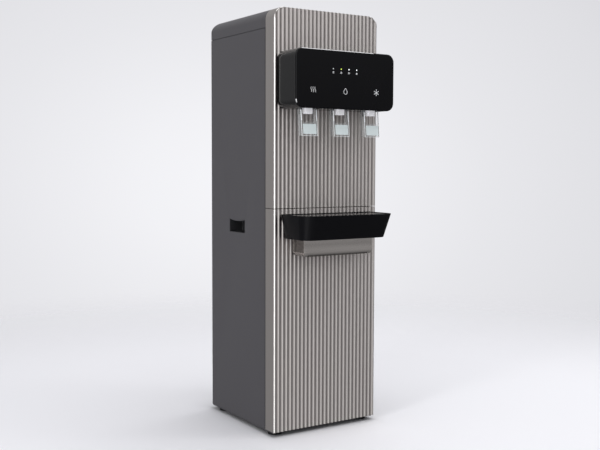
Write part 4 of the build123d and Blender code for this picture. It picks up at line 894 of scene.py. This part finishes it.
# Filter block and cartridges.
# A white block that holds four white twist-in cartridges, each with a coloured band and moulded grip ribs.
filter_white = finish("filter_white", (0.84, 0.85, 0.86), (0.78, 0.79, 0.81), 1700, 0.008 * mm, 0.28)
dress("filter_block", "filter_manifold", filter_white, "white_plastic", 1.2 * mm, 3)
can_ribs, shoulder_height = 28, 12.0 * mm
band_low, band_high = 70.0 * mm, 180.0 * mm
for node, colour in (("sediment_filter", (0.62, 0.40, 0.16)), ("carbon_filter", (0.10, 0.11, 0.12)),
                     ("membrane_filter", (0.06, 0.22, 0.52)), ("polishing_filter", (0.10, 0.42, 0.34))):
    low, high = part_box(node)
    x, y, _ = middle_of(node)
    radius = (high.x - low.x) / 2
    shoulder = high.z - shoulder_height
    can = solid_of(node)
    for rib in range(can_ribs):
        bar = box_of(can, radius - 1.0 * mm, radius + 0.25 * mm, -0.9 * mm, 0.9 * mm,
                     shoulder - 44 * mm, shoulder - 10 * mm)
        put(can, bar, (x, y, 0), rib * 2 * pi / can_ribs, "Z")
    fit(node + "_can", can, filter_white, "filter_white", node, body=node)
    band = bmesh.new()
    rod_of(band, (x, y, low.z + band_low), (x, y, low.z + band_high), radius + 0.15 * mm, 64, False)
    band_finish = finish(node + "_band", colour, tuple(c * 0.85 for c in colour), 700, 0.004 * mm, 0.4)
    thicken(fit(node + "_band", band, band_finish, "filter_white", body=node), 0.3 * mm, 0)

# Pump, pressure tank, compressor and the tubes.
# The pump is a black moulded motor and head, the tank a pale blue enamelled steel vessel with a weld round its
# middle, and the compressor a gloss black steel pot on rubber feet. The tubes are white polyethylene, 6.35 mm.
dress("pump_body", "booster_pump", moulded_black, "matte_black", 1.5 * mm, 3)
pale_blue = finish("tank_enamel", (0.50, 0.62, 0.70), (0.45, 0.57, 0.65), 420, 0.02 * mm, 0.25, 0.05)
x, y, _ = middle_of("storage_tank")
weld_low, weld_high, weld_radius = 213.5 * mm, 216.5 * mm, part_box("storage_tank")[1].x - x + 0.6 * mm
vessel = solid_of("storage_tank")
rod_of(vessel, (x, y, weld_low), (x, y, weld_high), weld_radius, 96, False)
fit("pressure_tank", vessel, pale_blue, "tank_blue", "storage_tank")
x, y, _ = middle_of("compressor")
pot_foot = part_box("compressor")[0].z
rim_low, rim_high, rim_radius = pot_foot + 85.5 * mm, pot_foot + 90.5 * mm, 60.0 * mm
pot = solid_of("compressor")
rod_of(pot, (x, y, rim_low), (x, y, rim_high), rim_radius, 96)
soften(fit("compressor_pot", pot, enamel, "black_steel", "compressor"), 1.0 * mm, 2, 50)
dress("compressor_bushes", "compressor_mounts", rubber, "black_rubber", 1.2 * mm)
polyethylene = finish("white_tube", (0.80, 0.82, 0.83), (0.75, 0.77, 0.79), 600, 0.004 * mm, 0.35)
for node in ("feed_tubes", "tap_tubes"):
    fit(node + "_white", solid_of(node), polyethylene, "tube_white", node, crease=50)

# Tanks, valves and boards inside the upper compartment.
# Stainless hot tank in a foam jacket, stainless cold tank wound in copper inside a foam block, the white solenoid
# valves behind the nozzles, their micro-switches and springs, and two green circuit boards.
stainless = finish("satin_stainless", (0.66, 0.66, 0.67), (0.56, 0.56, 0.58), (40, 40, 1500), 0.004 * mm,
                   0.25, 0.06, 1.0)
copper = finish("bright_copper", (0.72, 0.42, 0.30), (0.60, 0.33, 0.22), (70, 70, 800), 0.01 * mm, 0.25, 0.06, 1.0)
foam = finish("cell_foam", (0.72, 0.72, 0.69), (0.62, 0.62, 0.59), 900, 0.3 * mm, 0.85, 0.08, kind="Voronoi")
board_green = finish("circuit_board", (0.05, 0.22, 0.10), (0.03, 0.15, 0.07), 300, 0.03 * mm, 0.35, kind="Voronoi")
painted = {"hot_tank": stainless, "cold_tank": stainless, "lever_springs": stainless, "evaporator_coil": copper,
           "hot_tank_jacket": foam, "cold_tank_insulation": foam, "power_board": board_green,
           "display_board": board_green, "dispense_valves": white_moulding, "lever_switches": moulded_black}
for node, material in painted.items():
    for material_slot in nodes[node].material_slots:
        material_slot.material = material
